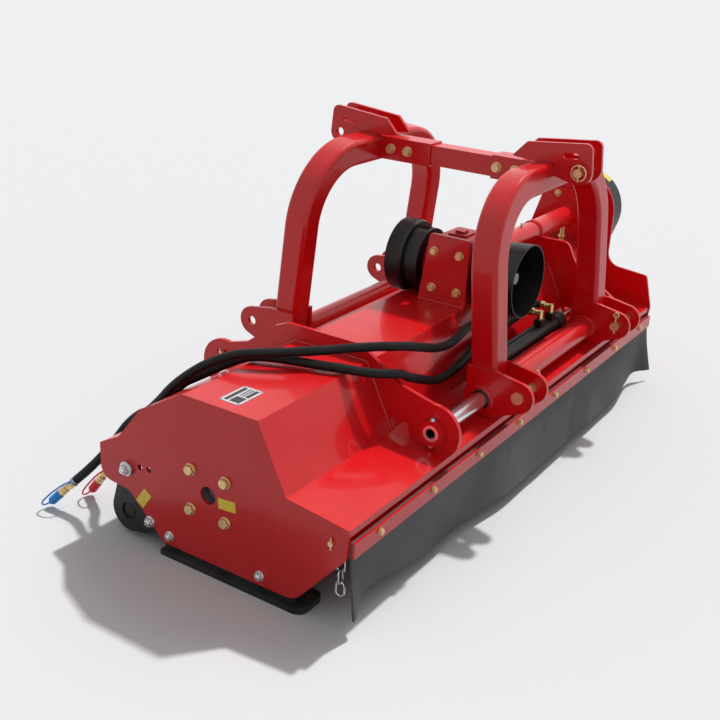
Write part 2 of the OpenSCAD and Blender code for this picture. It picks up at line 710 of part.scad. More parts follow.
// Bolts through both end plates. The heads are outside, or the nuts for the pivot, height and skid bolts.
arm_t = 10;
module both_ends(grip, p, d) {
    bolt_x(x_near, plate_t + grip, p[0], p[1], d);
    bolt_x(x_far, plate_t + grip, p[0], p[1], d, -1);
}
module both_nuts(grip, p, d, proud = 0) {
    bolt_x(x_near_in + grip, plate_t + grip + proud, p[0], p[1], d, -1);
    bolt_x(x_far_in - grip, plate_t + grip + proud, p[0], p[1], d);
}
module end_plate_bolts() {
    color(zinc) {
        for (p = bearing_bolts) both_ends(bearing_base, p, bearing_bolt_d);
        both_nuts(arm_t, pivot, bearing_bolt_d);
        for (p = skid_bolts) both_nuts(skid_t, p, skid_bolt_d);
        for (p = tube_bolts) bolt_x(x_far, plate_t + tube_flange_t, p[0], p[1], tube_bolt_d, -1);
        both_nuts(arm_t, height_holes[0], bearing_bolt_d, adjust_proud);
        for (x = [x_near - adjust_proud, x_far])
            bar_x(x, x + adjust_proud, height_holes[0][0], height_holes[0][1], spacer_r);
    }
}
// Bolts of the gearbox, and the screw that tightens the belts under the tube
x_tension = x_far_in - 80;
tension_d = 16;
module drive_bolts() {
    color(zinc) for (p = stand_holes)
        bolt_x(x_gear0 - stand_t, stand_t + gear_wall, p[0], p[1], stand_bolt_d);
    z0 = z_top;
    z1 = z_gear - torque_d / 2;
    color(zinc) translate([x_tension, y_gear, z0]) {
        cylinder(h = z1 - z0, d = tension_d);
        for (z = [0, 22]) translate([0, 0, z]) cylinder(h = 12, r = hex_r(tension_d), $fn = 6);
    }
}

// Skids: a flat sole with a rounded rear end, and an upright flange bolted inside the end plate
skid_proud = 8;
sole_t = 16;
skid_fore = rotor_y + heel_y + 4;
skid_back = rotor_y - tail_y - 28;
module skid(x, dir) {
    f0 = min(x, x + dir * skid_t);
    xs = [x - dir * (plate_t + skid_proud), x - dir * (plate_t + skid_proud) + dir * skid_w];
    color(black) {
        linear_extrude(sole_t) polygon(rounded([[xs[0], skid_fore], [xs[1], skid_fore], [xs[1], skid_back],
            [xs[0], skid_back]], [0, 0, skid_w * 0.25, skid_w * 0.3]));
        along_x(f0, skid_t) difference() {
            polygon([[rotor_y + heel_y, sole_t], [skid_bolts[0][0] + 20, skid_bolts[0][1] + 22],
                [skid_bolts[1][0] - 30, skid_bolts[1][1] + 22], [rotor_y - tail_y, sole_t]]);
            for (p = skid_bolts) translate(p) circle(d = skid_bolt_d + hole_gap);
        }
    }
}
module skid_runners() {
    skid(x_near_in, 1);
    skid(x_far_in, -1);
}

// Roller brackets: arms on the pivot bolt, held by one of the height holes
hub = [rotor_y + roller_y, roller_z];
hub_len = 26;
hub_sink = 6;
sink_r = 25;
axle_r = 17.5;
module roller_bracket(x, dir) {
    x0 = min(x, x + dir * arm_t);
    h0 = min(x, x + dir * hub_len);
    color(black) difference() {
        union() {
            along_x(x0, arm_t) polygon(two_rounds(hub, 58, pivot, 34));
            along_x(x0, arm_t) polygon(two_rounds(hub, 58, height_holes[0], 30));
            bar_x(h0, h0 + hub_len, hub[0], hub[1], 36);
        }
        bar_x(h0 - 1, h0 + hub_len + 1, hub[0], hub[1], axle_r + shaft_gap);
        bar_x(x - hub_sink, x + hub_sink, hub[0], hub[1], sink_r);
        for (p = [pivot, height_holes[0]])
            bar_x(x0 - 1, x0 + arm_t + 1, p[0], p[1], (bearing_bolt_d + hole_gap) / 2);
    }
}
module roller_brackets() {
    roller_bracket(x_near_in, 1);
    roller_bracket(x_far_in, -1);
}
roller_x0 = x_near_in + hub_len + 2;
roller_x1 = x_far_in - hub_len - 2;
module roller() {
    color(black) {
        difference() {
            bar_x(roller_x0, roller_x1, hub[0], hub[1], roller_d / 2);
            bar_x(roller_x0 + 12, roller_x1 - 12, hub[0], hub[1], roller_d / 2 - 8);
        }
        bar_x(x_near_in + 4, roller_x0, hub[0], hub[1], axle_r);
        bar_x(roller_x1, x_far_in - 4, hub[0], hub[1], axle_r);
    }
}

// Rubber flap between a rail under the shelf and a bolted strip
rail_t = 6;
rail_in = 24;
strip_n = floor((deck_len - 2 * plate_t) / strip_pitch) + 1;
strip_xs = [for (i = [0 : strip_n - 1]) (x_near + x_far) / 2 + strip_pitch * (i - (strip_n - 1) / 2)];
strip_bolt_d = 10;
z_strip_bolt = z_strip - strip_h * 0.42;
y_rubber = y_strip;
strip_x0 = x_near_in + seat_gap;
strip_len = deck_len - 2 * plate_t - 2 * seat_gap;
module strip_hole(y) {
    for (x = strip_xs) bar_y(x, y - 20, y + 20, z_strip_bolt, (strip_bolt_d + hole_gap) / 2);
}
module flap_rail() {
    color(red) difference() {
        along_x(x_near_in, deck_len - 2 * plate_t) polygon([[y_rubber, z_strip - strip_h],
            [y_rubber + rail_t, z_strip - strip_h], [y_rubber + rail_t, z_strip - rail_t],
            [y_rubber + rail_in, z_strip - rail_t],
            [y_rubber + rail_in, z_strip], [y_rubber, z_strip]]);
        strip_hole(y_rubber);
    }
}
module flap_strip() {
    color(red) difference() {
        translate([strip_x0, y_rubber - rubber_t - strip_t, z_strip - strip_h])
            cube([strip_len, strip_t, strip_h]);
        strip_hole(y_rubber - rubber_t);
    }
}
module strip_bolts() {
    y0 = y_rubber - rubber_t - strip_t;
    h = head_h(strip_bolt_d);
    color(zinc) for (x = strip_xs) translate([x, y0, z_strip_bolt]) rotate([-90, 0, 0]) {
        translate([0, 0, -h]) cylinder(h = h, r = hex_r(strip_bolt_d), $fn = 6);
        cylinder(h = strip_t + rubber_t + rail_t + 10, d = strip_bolt_d);
        translate([0, 0, strip_t + rubber_t + rail_t])
            cylinder(h = h, r = hex_r(strip_bolt_d), $fn = 6);
    }
}
// The rubber bulges out along its middle, more so lower down. It draws in near both ends, where its
// corners turn out, and its lower edge is curled up a little near the near end.
wave_n = 72;
wave_rows = 5;
bulge = 31;
bulge_from = 670;
bulge_to = 1745;
bulge_ease = 42;
flap_drop = z_strip - strip_h - flap_clear;
function hump(s, mid, half) = exp(-pow((s - mid) / half, 2));
function ease(s, mid) = 1 / (1 + exp((mid - s) / bulge_ease));
function flap_out(x, t) = let (s = x - strip_x0) pow(t, 1.4) * (bulge * ease(s, bulge_from)
    * ease(-s, -bulge_to) - 10 * hump(s, 170, 140) + 18 * hump(s, 0, 36)
    - 7 * hump(s, 1880, 60) + 36 * hump(s, strip_len, 40));
function flap_curl(x, t) = let (s = x - strip_x0)
    38 * t * t * (1 - hump(s, 0, 32)) * hump(s, 70, 150);
function flap_point(i, j, side) = let (x = strip_x0 + strip_len * i / wave_n, t = j / wave_rows)
    [x, y_rubber - flap_out(x, t) - (side == 0 ? rubber_t : 0),
        z_strip - strip_h - flap_drop * t + flap_curl(x, t)];
module rubber_flap() {
    m = wave_rows + 1;
    half = (wave_n + 1) * m;
    pts = [for (side = [0, 1], i = [0 : wave_n], j = [0 : wave_rows]) flap_point(i, j, side)];
    function q(a, b, c, d) = [[a, b, c], [a, c, d]];
    skins = [for (i = [0 : wave_n - 1], j = [0 : wave_rows - 1]) let (a = i * m + j)
        each concat(q(a, a + m, a + m + 1, a + 1),
            q(half + a, half + a + 1, half + a + m + 1, half + a + m))];
    rims = [for (i = [0 : wave_n - 1]) let (a = i * m, b = a + m - 1)
        each concat(q(a, half + a, half + a + m, a + m), q(b, b + m, half + b + m, half + b))];
    ends = [for (j = [0 : wave_rows - 1]) let (a = j, b = wave_n * m + j)
        each concat(q(a, a + 1, half + a + 1, half + a), q(b, half + b, half + b + 1, b + 1))];
    color(black) {
        polyhedron(pts, concat(skins, rims, ends));
        difference() {
            translate([strip_x0, y_rubber - rubber_t, z_strip - strip_h])
                cube([strip_len, rubber_t, strip_h]);
            strip_hole(y_rubber);
        }
    }
}

// Chain guard behind the flap: a long rod with cotters, and strands of flat links
cotter_d = 4;
module chain_rod() {
    color(steel) bar_x(x_near - 8, x_far + 8, y_chain, z_chain, chain_rod_d / 2);
    color(zinc) for (x = [x_near - 5, x_far + 5]) translate([x, y_chain, z_chain - 16])
        cylinder(h = 32, d = cotter_d);
}
link_n = 5;
link_len = 46;
link_w = 30;
link_t = 6;
link_step = link_len - 2 * link_t;
strand_in = 35;
strand_pitch = (deck_len - 2 * plate_t - 2 * strand_in) / (strand_n - 1);
module link_outline(l, w) {
    translate([0, l / 2 - w / 2]) circle(d = w);
    translate([0, -l / 2 + w / 2]) circle(d = w);
    square([w, l - w], center = true);
}
module chain_strands() {
    z0 = z_chain - link_len / 2 + link_t + chain_rod_d / 2 + seat_gap;
    for (i = [0 : strand_n - 1], k = [0 : link_n - 1]) color(steel)
        translate([x_near_in + strand_in + i * strand_pitch, y_chain, z0 - k * link_step])
            rotate([90, 0, k % 2 == 0 ? 90 : 0]) linear_extrude(link_t, center = true) difference() {
                link_outline(link_len, link_w - (k % 2) * 6);
                link_outline(link_len - 2 * link_t, link_w - 2 * link_t - (k % 2) * 6);
            }
}
module data_plate() {
    color([0.85, 0.86, 0.88]) translate([x_near + 39, rotor_y - 63, z_top]) cube([97, 61, 1]);
}

// Side-shift cylinder: barrel on the hitch frame, piston rod on the far bracket
x_barrel0 = x_hitch - leg_span / 2 + tube_w / 2 + lug_t;
x_barrel1 = x_hitch + barrel_reach;
barrel_wall = 5;
cap_len = 25;
piston_t = 30;
nut_t = 14;
piston_run = 260;
x_piston = x_barrel0 + cap_len + piston_run;
module piston_rod() {
    color(steel) {
        bar_x(x_piston, x_far_bracket + bracket_t + nut_t + 8, y_cyl, z_cyl, piston_rod_d / 2);
        bar_x(x_piston, x_piston + piston_t, y_cyl, z_cyl, barrel_d / 2 - barrel_wall - shaft_gap);
    }
    color(zinc) for (x = [x_far_bracket - nut_t, x_far_bracket + bracket_t]) translate([x, y_cyl, z_cyl])
        rotate([0, 90, 0]) cylinder(h = nut_t, r = piston_rod_d * 0.85, $fn = 6);
}
port_back = [160, 78];
port_xs = [for (b = port_back) x_barrel1 - b];
port_h = 22;
module cylinder_barrel() {
    pipe_r = 5;
    color(black) {
        difference() {
            union() {
                bar_x(x_barrel0, x_barrel1, y_cyl, z_cyl, barrel_d / 2);
                bar_x(x_barrel1 - 50, x_barrel1, y_cyl, z_cyl, barrel_d / 2 + 3);
                for (x = port_xs) translate([x - 15, y_cyl - 13, z_cyl + barrel_d / 2 - 8])
                    cube([30, 26, port_h + 8]);
            }
            bar_x(x_barrel0 + cap_len, x_barrel1 - cap_len, y_cyl, z_cyl, barrel_d / 2 - barrel_wall);
            bar_x(x_barrel1 - cap_len - 1, x_barrel1 + 1, y_cyl, z_cyl, piston_rod_d / 2 + shaft_gap);
        }
        bar_x(x_barrel0 + 20, port_xs[0], y_cyl + 6, z_cyl + barrel_d / 2 + pipe_r - 2, pipe_r);
    }
}
// Brass elbows from the port blocks, opening towards the deck
elbow_r = 9;
elbow_up = 18;
y_elbow = y_cyl + 34;
z_elbow = z_cyl + barrel_d / 2 + port_h + elbow_up;
module port_elbows() {
    color(zinc) for (x = port_xs) {
        translate([x, y_cyl, z_cyl + barrel_d / 2 + port_h]) cylinder(h = elbow_up + elbow_r, r = elbow_r);
        bar_y(x, y_cyl, y_elbow, z_elbow, elbow_r);
        bar_y(x, y_elbow - 14, y_elbow, z_elbow, elbow_r + 4);
    }
}

// Input shaft through the gearbox: splined ends and a thicker journal between them
spline_len = 78;
journal_over = 20;
input_out = spline_len + journal_over;
journal_r = input_d / 2 + 1.5;
spline_n = 6;
spline_w = 2.4;
spline_over = 2;
input_y0 = y_neck0 - input_out;
input_y1 = y_neck1 + input_out;
module input_shaft() {
    color(steel) difference() {
        bar_y(x_gear, input_y0, input_y1, z_gear, input_d / 2);
        for (i = [0 : spline_n - 1], y = [input_y0 - 1, input_y1 - spline_len - spline_over])
            translate([x_gear, y, z_gear])
            rotate([0, (i + 0.5) * 360 / spline_n, 0]) translate([-spline_w / 2, 0, input_d / 2 - 2.5])
                cube([spline_w, spline_len + spline_over + 1, 10]);
    }
    color(steel) bar_y(x_gear, y_neck0 - journal_over, y_neck1 + journal_over, z_gear, journal_r);
}
// Pitch cones of the bevel pair, apart by a small gap
small_gear_r = big_gear_r / gear_ratio;
gear_face = 0.7;
mesh_gap = 0.6;
module input_gear() {
    color(steel) difference() {
        turn_y(x_gear, y_gear, z_gear) polygon([[0, small_gear_r * gear_face + 1],
            [big_gear_r * gear_face, small_gear_r * gear_face + 1], [big_gear_r, small_gear_r + 1],
            [big_gear_r, small_gear_r + 8], [26, small_gear_r + 18], [0, small_gear_r + 18]]);
        bar_y(x_gear, y_gear - 1, y_gear + gear_d, z_gear, journal_r);
    }
}
module cross_shaft() {
    color(steel) bar_x(x_gear + big_gear_r * gear_face, x_pulley + pulley_w, y_gear, z_gear, cross_d / 2 - 3);
    color(steel) difference() {
        bar_x(x_gear + big_gear_r + 2, x_pulley + pulley_w, y_gear, z_gear, cross_d / 2);
        bar_x(x_gear, x_pulley + pulley_w + 1, y_gear, z_gear, cross_d / 2 - 3);
    }
}
module cross_pinion() {
    color(steel) difference() {
        turn_x(x_gear, y_gear, z_gear) polygon([[0, big_gear_r * gear_face],
            [small_gear_r * gear_face - mesh_gap, big_gear_r * gear_face],
            [small_gear_r - mesh_gap, big_gear_r],
            [small_gear_r - mesh_gap, big_gear_r + 2], [0, big_gear_r + 2]]);
        bar_x(x_gear, x_gear + 2 * big_gear_r, y_gear, z_gear, cross_d / 2 - 3);
    }
}

// Rotor: tube with stub shafts and pairs of ears, one row of hammers on each of three lines
rotor_x0 = x_near_in + bearing_len + 8;
rotor_x1 = x_far_in - bearing_len - 8;
row_angles = [30, 150, 270];
hammer_w = 44;
ear_t = 8;
ear_r = 19;
ear_gap = 0.6;
// The near stub ends inside its bearing, behind the hole in the end plate
stub_sink = 22;
hammer_pitch = (rotor_x1 - rotor_x0 - 120) / (hammer_n - 1 / 3);
function hammer_x(row, i) = rotor_x0 + 60 + (i + row / 3) * hammer_pitch;
function row_pin(row) = [rotor_y, rotor_z] + hammer_pcr * [cos(row_angles[row]), sin(row_angles[row])];
module rotor_drum() {
    color(red) {
        difference() {
            bar_x(rotor_x0, rotor_x1, rotor_y, rotor_z, rotor_d / 2);
            bar_x(rotor_x0 + 20, rotor_x1 - 20, rotor_y, rotor_z, rotor_d / 2 - rotor_wall);
        }
        bar_x(x_near_in + stub_sink, rotor_x0, rotor_y, rotor_z, stub_d / 2);
        bar_x(rotor_x1, x_pulley + pulley_w, rotor_y, rotor_z, stub_d / 2);
        for (row = [0 : 2], i = [0 : hammer_n - 1], s = [-1, 1]) {
            x = hammer_x(row, i) + s * (hammer_w / 2 + ear_gap + ear_t / 2);
            axis = [rotor_y, rotor_z];
            root = axis + (rotor_d / 2 - 6) * unit(row_pin(row) - axis);
            along_x(x - ear_t / 2, ear_t) difference() {
                polygon(two_rounds(root, ear_r + 6, row_pin(row), ear_r, 10));
                translate(row_pin(row)) circle(d = hammer_bolt_d);
                translate(axis) circle(r = rotor_d / 2 - rotor_wall / 2);
            }
        }
    }
}
module hammer_bolts() {
    grip = hammer_w + 2 * ear_gap + 2 * ear_t;
    color(zinc) for (row = [0 : 2], i = [0 : hammer_n - 1]) {
        p = row_pin(row);
        translate([hammer_x(row, i) - grip / 2, p[0], p[1]]) rotate([0, 90, 0]) {
            translate([0, 0, -7]) cylinder(h = 7, r = 11.5, $fn = 6);
            cylinder(h = grip + 7, d = hammer_bolt_d);
            translate([0, 0, grip]) cylinder(h = 7, r = 11.5, $fn = 6);
        }
    }
}
hammer_boss = 15;
hammer_head_w = 62;
hammer_head_h = 44;
module hammer() {
    shank = hammer_len - hammer_head_h;
    difference() {
        union() {
            bar_x(-hammer_w / 2, hammer_w / 2, 0, 0, hammer_boss);
            translate([-hammer_w / 2, -6, -shank]) cube([hammer_w, 12, shank]);
            along_x(-hammer_head_w / 2, hammer_head_w) polygon(rounded([[-8, -shank], [-9, -hammer_len],
                [9, -hammer_len], [8, -shank]], [3, 4, 4, 3]));
        }
        bar_x(-hammer_w, hammer_w, 0, 0, hammer_bolt_d / 2 + shaft_gap);
    }
}
module hammers(row) {
    p = row_pin(row);
    for (i = [0 : hammer_n - 1]) color(black) translate([hammer_x(row, i), p[0], p[1]]) hammer();
}
module hammers_a() { hammers(0); }
module hammers_b() { hammers(1); }
module hammers_c() { hammers(2); }

// Hitch frame. Each arch stands on its sleeve and leans towards the other one.
module square_tube(w) {
    r = max(tube_corner - (tube_w - w) / 2, 3);
    square([w - 2 * r, w], center = true);
    square([w, w - 2 * r], center = true);
    for (a = [-1, 1], b = [-1, 1]) translate([a, b] * (w / 2 - r)) circle(r = r);
}
module on_arch(s) { translate([x_hitch, s * rod_y, rod_h]) rotate([s * lean, 0, 0]) children(); }
leg_foot = sleeve_d / 2 - 12;
module arch_tube(w, foot) {
    flat = leg_span / 2 - bend_r;
    for (m = [0, 1]) mirror([m, 0, 0]) {
        translate([leg_span / 2, 0, foot]) linear_extrude(mast_h - bend_r - foot) square_tube(w);
        translate([flat, 0, mast_h - bend_r]) rotate([90, 0, 0]) rotate_extrude(angle = 90)
            translate([bend_r, 0]) square_tube(w);
    }
    translate([-flat, 0, mast_h]) rotate([0, 90, 0]) linear_extrude(2 * flat) square_tube(w);
}
y_mast = rod_y - mast_h * sin(lean);
z_mast = rod_h + mast_h * cos(lean);
function socket_end(s) = s < 0 ? flap_socket_y : roller_socket_y;
mast_bolt_ys = [for (i = [0, 1], s = [-1, 1])
    s < 0 ? -flap_socket_y - 18 - i * 60 : roller_socket_y + 80 + i * 60];
module mast_holes() {
    for (y = mast_bolt_ys) bar_x(x_hitch - socket_w, x_hitch + socket_w, y, z_mast, mast_bolt_d / 2);
}
module arch(s) {
    y_in = y_mast - tube_w / 2;
    color(red) difference() {
        union() {
            difference() {
                on_arch(s) arch_tube(tube_w, leg_foot);
                on_arch(s) arch_tube(tube_w - 2 * tube_wall, leg_foot - 1);
            }
            translate([x_hitch - socket_w / 2, s < 0 ? -y_mast : socket_end(s), z_mast - socket_w / 2])
                cube([socket_w, y_mast - socket_end(s), socket_w]);
        }
        translate([x_hitch - mast_w / 2, s < 0 ? -y_in : 0, z_mast - mast_w / 2])
            cube([mast_w, y_in, mast_w]);
        mast_holes();
        bar_x(sleeve_x0, sleeve_x1, s * rod_y, rod_h, sleeve_d / 2);
    }
}
module flap_side_arch() { arch(-1); }
module roller_side_arch() { arch(1); }
module mast_tube() {
    l = y_mast - tube_w / 2;
    color(red) difference() {
        translate([x_hitch - mast_w / 2, -l, z_mast - mast_w / 2]) cube([mast_w, 2 * l, mast_w]);
        translate([x_hitch - mast_w / 2 + 5, -l - 1, z_mast - mast_w / 2 + 5])
            cube([mast_w - 10, 2 * l + 2, mast_w - 10]);
        mast_holes();
    }
}
module mast_bolts() {
    color(zinc) for (y = mast_bolt_ys) bolt_x(x_hitch - socket_w / 2, socket_w, y, z_mast, mast_bolt_d);
}

// Top link plates in pairs on each arch, with a round hole and a slot
slot_w = 17;
top_edge = 97;
module top_plate_outline(s) {
    crown = mast_h + tube_w / 2;
    hole = [s * top_hole_y, mast_h + top_hole_h];
    difference() {
        polygon(rounded([for (p = [[-18, crown], [-90, crown + 14], [-90, crown + 18],
            [-45, mast_h + top_edge], [top_hole_y + 35, mast_h + top_edge], [top_hole_y + 35, hole[1] - 34],
            [top_hole_y - 22, hole[1] - 34], [tube_w / 2, mast_h + 2], [tube_w / 2, crown]])
            [s * p[0], p[1]]], [0, 0, 0, 4, 20, 33, 16, 0, 0]));
        translate(hole) circle(d = top_hole_d);
        for (y = [72, 104]) translate([s * y, mast_h + top_edge - 36]) circle(d = slot_w);
        translate([s * 88, mast_h + top_edge - 36]) square([32, slot_w], center = true);
    }
}
module top_plates(s) {
    color(red) on_arch(s) for (x = [-top_gap / 2 - top_t, top_gap / 2])
        along_x(x, top_t) top_plate_outline(s);
}
module top_link_plates() { for (s = [-1, 1]) top_plates(s); }

// Sleeves on the rods, with a bush in each end, and pairs of lug plates beside the legs
lug_xs = [for (s = [-1, 1], t = [-1, 1]) x_hitch + s * leg_span / 2 + t * (tube_w + lug_t) / 2 - lug_t / 2];
sleeve_x0 = lug_xs[0] - 3;
sleeve_x1 = lug_xs[3] + lug_t + 3;
module slide_sleeves() {
    for (p = rod_places) color(red) difference() {
        bar_x(sleeve_x0, sleeve_x1, p[0], p[1], sleeve_d / 2);
        bar_x(sleeve_x0 - 1, sleeve_x1 + 1, p[0], p[1], bush_d / 2);
    }
}
module sleeve_bushes() {
    for (p = rod_places, x = [sleeve_x0, sleeve_x1 - bush_len]) color(black) difference() {
        bar_x(x, x + bush_len, p[0], p[1], bush_d / 2);
        bar_x(x - 1, x + bush_len + 1, p[0], p[1], rod_d / 2 + bush_gap);
    }
}
module lug_outline(s) {
    rod = [s * rod_y, rod_h];
    eye = [s * lug_y, lug_h];
    difference() {
        union() {
            polygon(two_rounds(rod, lug_rod_r, eye, lug_r));
            polygon([rod, [s * (rod_y - lug_rod_r + 6), rod_h],
                [s * (rod_y - lug_rod_r + 8), rod_h + lug_rise],
                [s * (rod_y + 42), rod_h + lug_rise], eye + [s * 12, lug_r * 0.96]]);
        }
        translate(rod) circle(d = sleeve_d);
        translate(eye) circle(d = lower_hole_d);
        translate([0, deck_clear]) deck_cut();
    }
}
// The inner near plate on the flap side also carries the foot of the cylinder
module lower_lugs() {
    color(red) for (s = [-1, 1], i = [0 : 3]) along_x(lug_xs[i], lug_t) {
        lug_outline(s);
        if (s < 0 && i == 1) difference() {
            polygon(two_rounds([y_cyl, z_cyl], barrel_d / 2 + 4,
                [-rod_y + lug_rod_r / 2, rod_h + lug_rise / 2 + 5], 30));
            translate([-rod_y, rod_h]) circle(d = sleeve_d);
        }
    }
}

// Lower pins on the flap side and a top link pin, each kept by a clip
pin_head_t = 6;
pin_over = 20;
lower_pin_len = tube_w + 2 * lug_t + pin_over;
near_pin_x = lug_xs[0];
far_pin_x = lug_xs[3] + lug_t;
y_top_pin = -rod_y + mast_h * sin(lean) - top_hole_y * cos(lean) + top_hole_h * sin(lean);
z_top_pin = rod_h + (mast_h + top_hole_h) * cos(lean) + top_hole_y * sin(lean);
top_pin_over = 22;
x_top_pin0 = x_hitch - top_gap / 2 - top_t - top_pin_over;
x_top_pin1 = x_hitch + top_gap / 2 + top_t;
clip_d = 5;
near_clip_x = near_pin_x + lower_pin_len - pin_over / 2;
far_clip_x = far_pin_x - lower_pin_len + pin_over / 2;
top_clip_x = x_top_pin0 + top_pin_over / 2;
module pin_bore(x, y, z) { translate([x, y, z - 40]) cylinder(h = 80, d = clip_d); }
module hitch_pins() {
    color(zinc) {
        difference() {
            bar_x(near_pin_x, near_pin_x + lower_pin_len, -lug_y, lug_h, lower_pin_d / 2);
            pin_bore(near_clip_x, -lug_y, lug_h);
        }
        bar_x(near_pin_x - pin_head_t, near_pin_x, -lug_y, lug_h, lower_pin_d / 2 + 3);
        difference() {
            bar_x(far_pin_x - lower_pin_len, far_pin_x, -lug_y, lug_h, lower_pin_d / 2);
            pin_bore(far_clip_x, -lug_y, lug_h);
        }
        bar_x(far_pin_x, far_pin_x + pin_head_t, -lug_y, lug_h, lower_pin_d / 2 + 3);
        difference() {
            bar_x(x_top_pin0, x_top_pin1, y_top_pin, z_top_pin, top_pin_d / 2);
            pin_bore(top_clip_x, y_top_pin, z_top_pin);
        }
        bar_x(x_top_pin1, x_top_pin1 + pin_head_t, y_top_pin, z_top_pin, top_pin_d / 2 + 5);
    }
}
clip_ring_r = 22;
module pin_clips() {
    color(steel) {
        for (x = [near_clip_x, far_clip_x]) translate([x, -lug_y, lug_h - 24]) {
            cylinder(h = 62, d = clip_d);
            translate([0, 0, 62]) rotate([0, 90, 0]) rotate_extrude() translate([8, 0]) circle(d = clip_d);
        }
        translate([top_clip_x, y_top_pin, z_top_pin - 24]) cylinder(h = 48, d = clip_d);
        translate([top_clip_x, y_top_pin, z_top_pin]) rotate([0, 90, 0]) rotate_extrude()
            translate([clip_ring_r, 0]) circle(d = clip_d - 1);
    }
}

// Hoses: from the elbows, behind the near leg, over the near bracket and the deck, to the floor.
// The first number of each point is its distance from the near end. Crest heights are over the deck top.
hose_exit = y_elbow + seat_gap;
hose_a_start = [[port_xs[0], hose_exit, z_elbow], [port_xs[0], hose_exit + 20, z_elbow]];
hose_a_run = [[1195, -218, 430], [1130, -216, 434], [1060, -216, 438], [990, -220, 446], [930, -224, 466],
    [880, -230, 482], [828, -234, 484], [777, -236, 470], [720, -236, 468], [660, -236, 478]];
hose_a_crest = [[590, -232, 27], [530, -222, 44], [467, -168, 50], [420, -126, 50], [372, -84, 48],
    [328, -40, 46], [284, 6, 45], [246, 54, 42], [216, 98, 36], [190, 136, 21], [162, 170, 1],
    [140, 208, -31]];
hose_a_drop = [[124, 246, 403], [121, 286, 353], [125, 324, 316], [132, 364, 290], [122, 398, 258],
    [100, 426, 208], [74, 458, 156], [48, 488, 114], [26, 514, 82]];
hose_b_start = [[port_xs[1], hose_exit, z_elbow], [port_xs[1], hose_exit + 20, z_elbow]];
hose_b_run = [[1296, -216, 416], [1252, -206, 398], [1190, -203, 391], [1110, -202, 390], [1030, -204, 392],
    [960, -212, 394], [900, -224, 396], [850, -234, 392], [800, -236, 378], [740, -236, 372],
    [670, -236, 378], [600, -236, 402], [530, -238, 432]];
hose_b_crest = [[467, -234, -9], [412, -204, -1], [378, -172, 9], [350, -128, 16], [330, -76, 17],
    [316, -26, 17], [300, 22, 17], [282, 66, 17], [260, 102, 15], [238, 134, 0], [212, 170, -22],
    [192, 206, -45]];
hose_b_drop = [[178, 246, 402], [170, 286, 355], [167, 326, 315], [166, 366, 290], [160, 398, 258],
    [148, 420, 208], [131, 447, 142], [117, 478, 94]];
function from_near(r, up = 0) = [for (p = r) [x_near + p[0], p[1], p[2] + up]];
hose_a_route = concat(hose_a_start, from_near(hose_a_run), from_near(hose_a_crest, z_top),
    from_near(hose_a_drop));
hose_b_route = concat(hose_b_start, from_near(hose_b_run), from_near(hose_b_crest, z_top),
    from_near(hose_b_drop));
hose_sides = 10;
function tangent(p, i) = unit(p[min(i + 1, len(p) - 1)] - p[max(i - 1, 0)]);
function carry(side, t) = unit(side - (side * t) * t);
function sides_along(p, i, s) = i == len(p) ? [] : let (c = carry(s, tangent(p, i)))
    concat([c], sides_along(p, i + 1, c));
module hose(route) {
    path = route;
    ups = sides_along(path, 0, [0, 0, 1]);
    n = hose_sides;
    pts = [for (i = [0 : len(path) - 1]) let (t = tangent(path, i), u = ups[i], v = cross(t, u))
        for (k = [0 : n - 1]) path[i] + hose_d / 2 * (cos(360 * k / n) * u + sin(360 * k / n) * v)];
    last = (len(path) - 1) * n;
    skin = [for (i = [0 : len(path) - 2], k = [0 : n - 1]) let (a = i * n + k, b = i * n + (k + 1) % n)
        each [[a, a + n, b + n], [a, b + n, b]]];
    caps = [for (k = [1 : n - 2]) each [[0, k, k + 1], [last, last + k + 1, last + k]]];
    polyhedron(pts, concat(skin, caps));
}
module hose_a() { color(black) hose(hose_a_route); }
module hose_b() { color(black) hose(hose_b_route); }

// Couplers and dust caps on the hose ends. They lean down to the ground, where the caps' tips rest.
coupler_len = 60;
coupler_r = 12;
cap_r = 13;
cap_long = 40;
module at_end(r) {
    aim = unit(r[len(r) - 1] - r[len(r) - 2]);
    translate(r[len(r) - 1]) rotate([0, acos(aim[2]), atan2(aim[1], aim[0])]) children();
}
module coupler() {
    cylinder(h = coupler_len, r = coupler_r - 3);
    translate([0, 0, 14]) cylinder(h = 16, r = coupler_r, $fn = 6);
    translate([0, 0, 34]) cylinder(h = 22, r = coupler_r);
}
module cap() { translate([0, 0, coupler_len]) cylinder(h = cap_long, r = cap_r); }
module hose_couplers() {
    color(zinc) {
        at_end(hose_a_route) coupler();
        at_end(hose_b_route) coupler();
    }
}
module blue_cap() { color([0.05, 0.35, 0.75]) at_end(hose_a_route) cap(); }
module red_cap() { color([0.75, 0.05, 0.08]) at_end(hose_b_route) cap(); }

deck_shell();
near_end_plate();
far_end_plate();
near_slide_bracket();
far_slide_bracket();
flap_side_rod();
roller_side_rod();
rod_collars();
collar_bolts();
gearbox_stand();
gearbox_housing();
gearbox_plug();
drive_bearings();
torque_tube();
drive_belts();
belt_guard();
flap_side_shield();
roller_side_shield();
rotor_bearings();
end_plate_bolts();
drive_bolts();
skid_runners();
roller_brackets();
flap_rail();
flap_strip();
strip_bolts();
rubber_flap();
chain_rod();
data_plate();
piston_rod();
input_shaft();
input_gear();
cross_shaft();
cross_pinion();
drive_pulley();
rotor_drum();
hammer_bolts();
driven_pulley();
hammers_a();
hammers_b();
hammers_c();
roller();
chain_strands();
flap_side_arch();
roller_side_arch();
slide_sleeves();
sleeve_bushes();
lower_lugs();
top_link_plates();
mast_tube();
mast_bolts();
hitch_pins();
pin_clips();
cylinder_barrel();
port_elbows();
hose_a();
hose_b();
hose_couplers();
blue_cap();
red_cap();
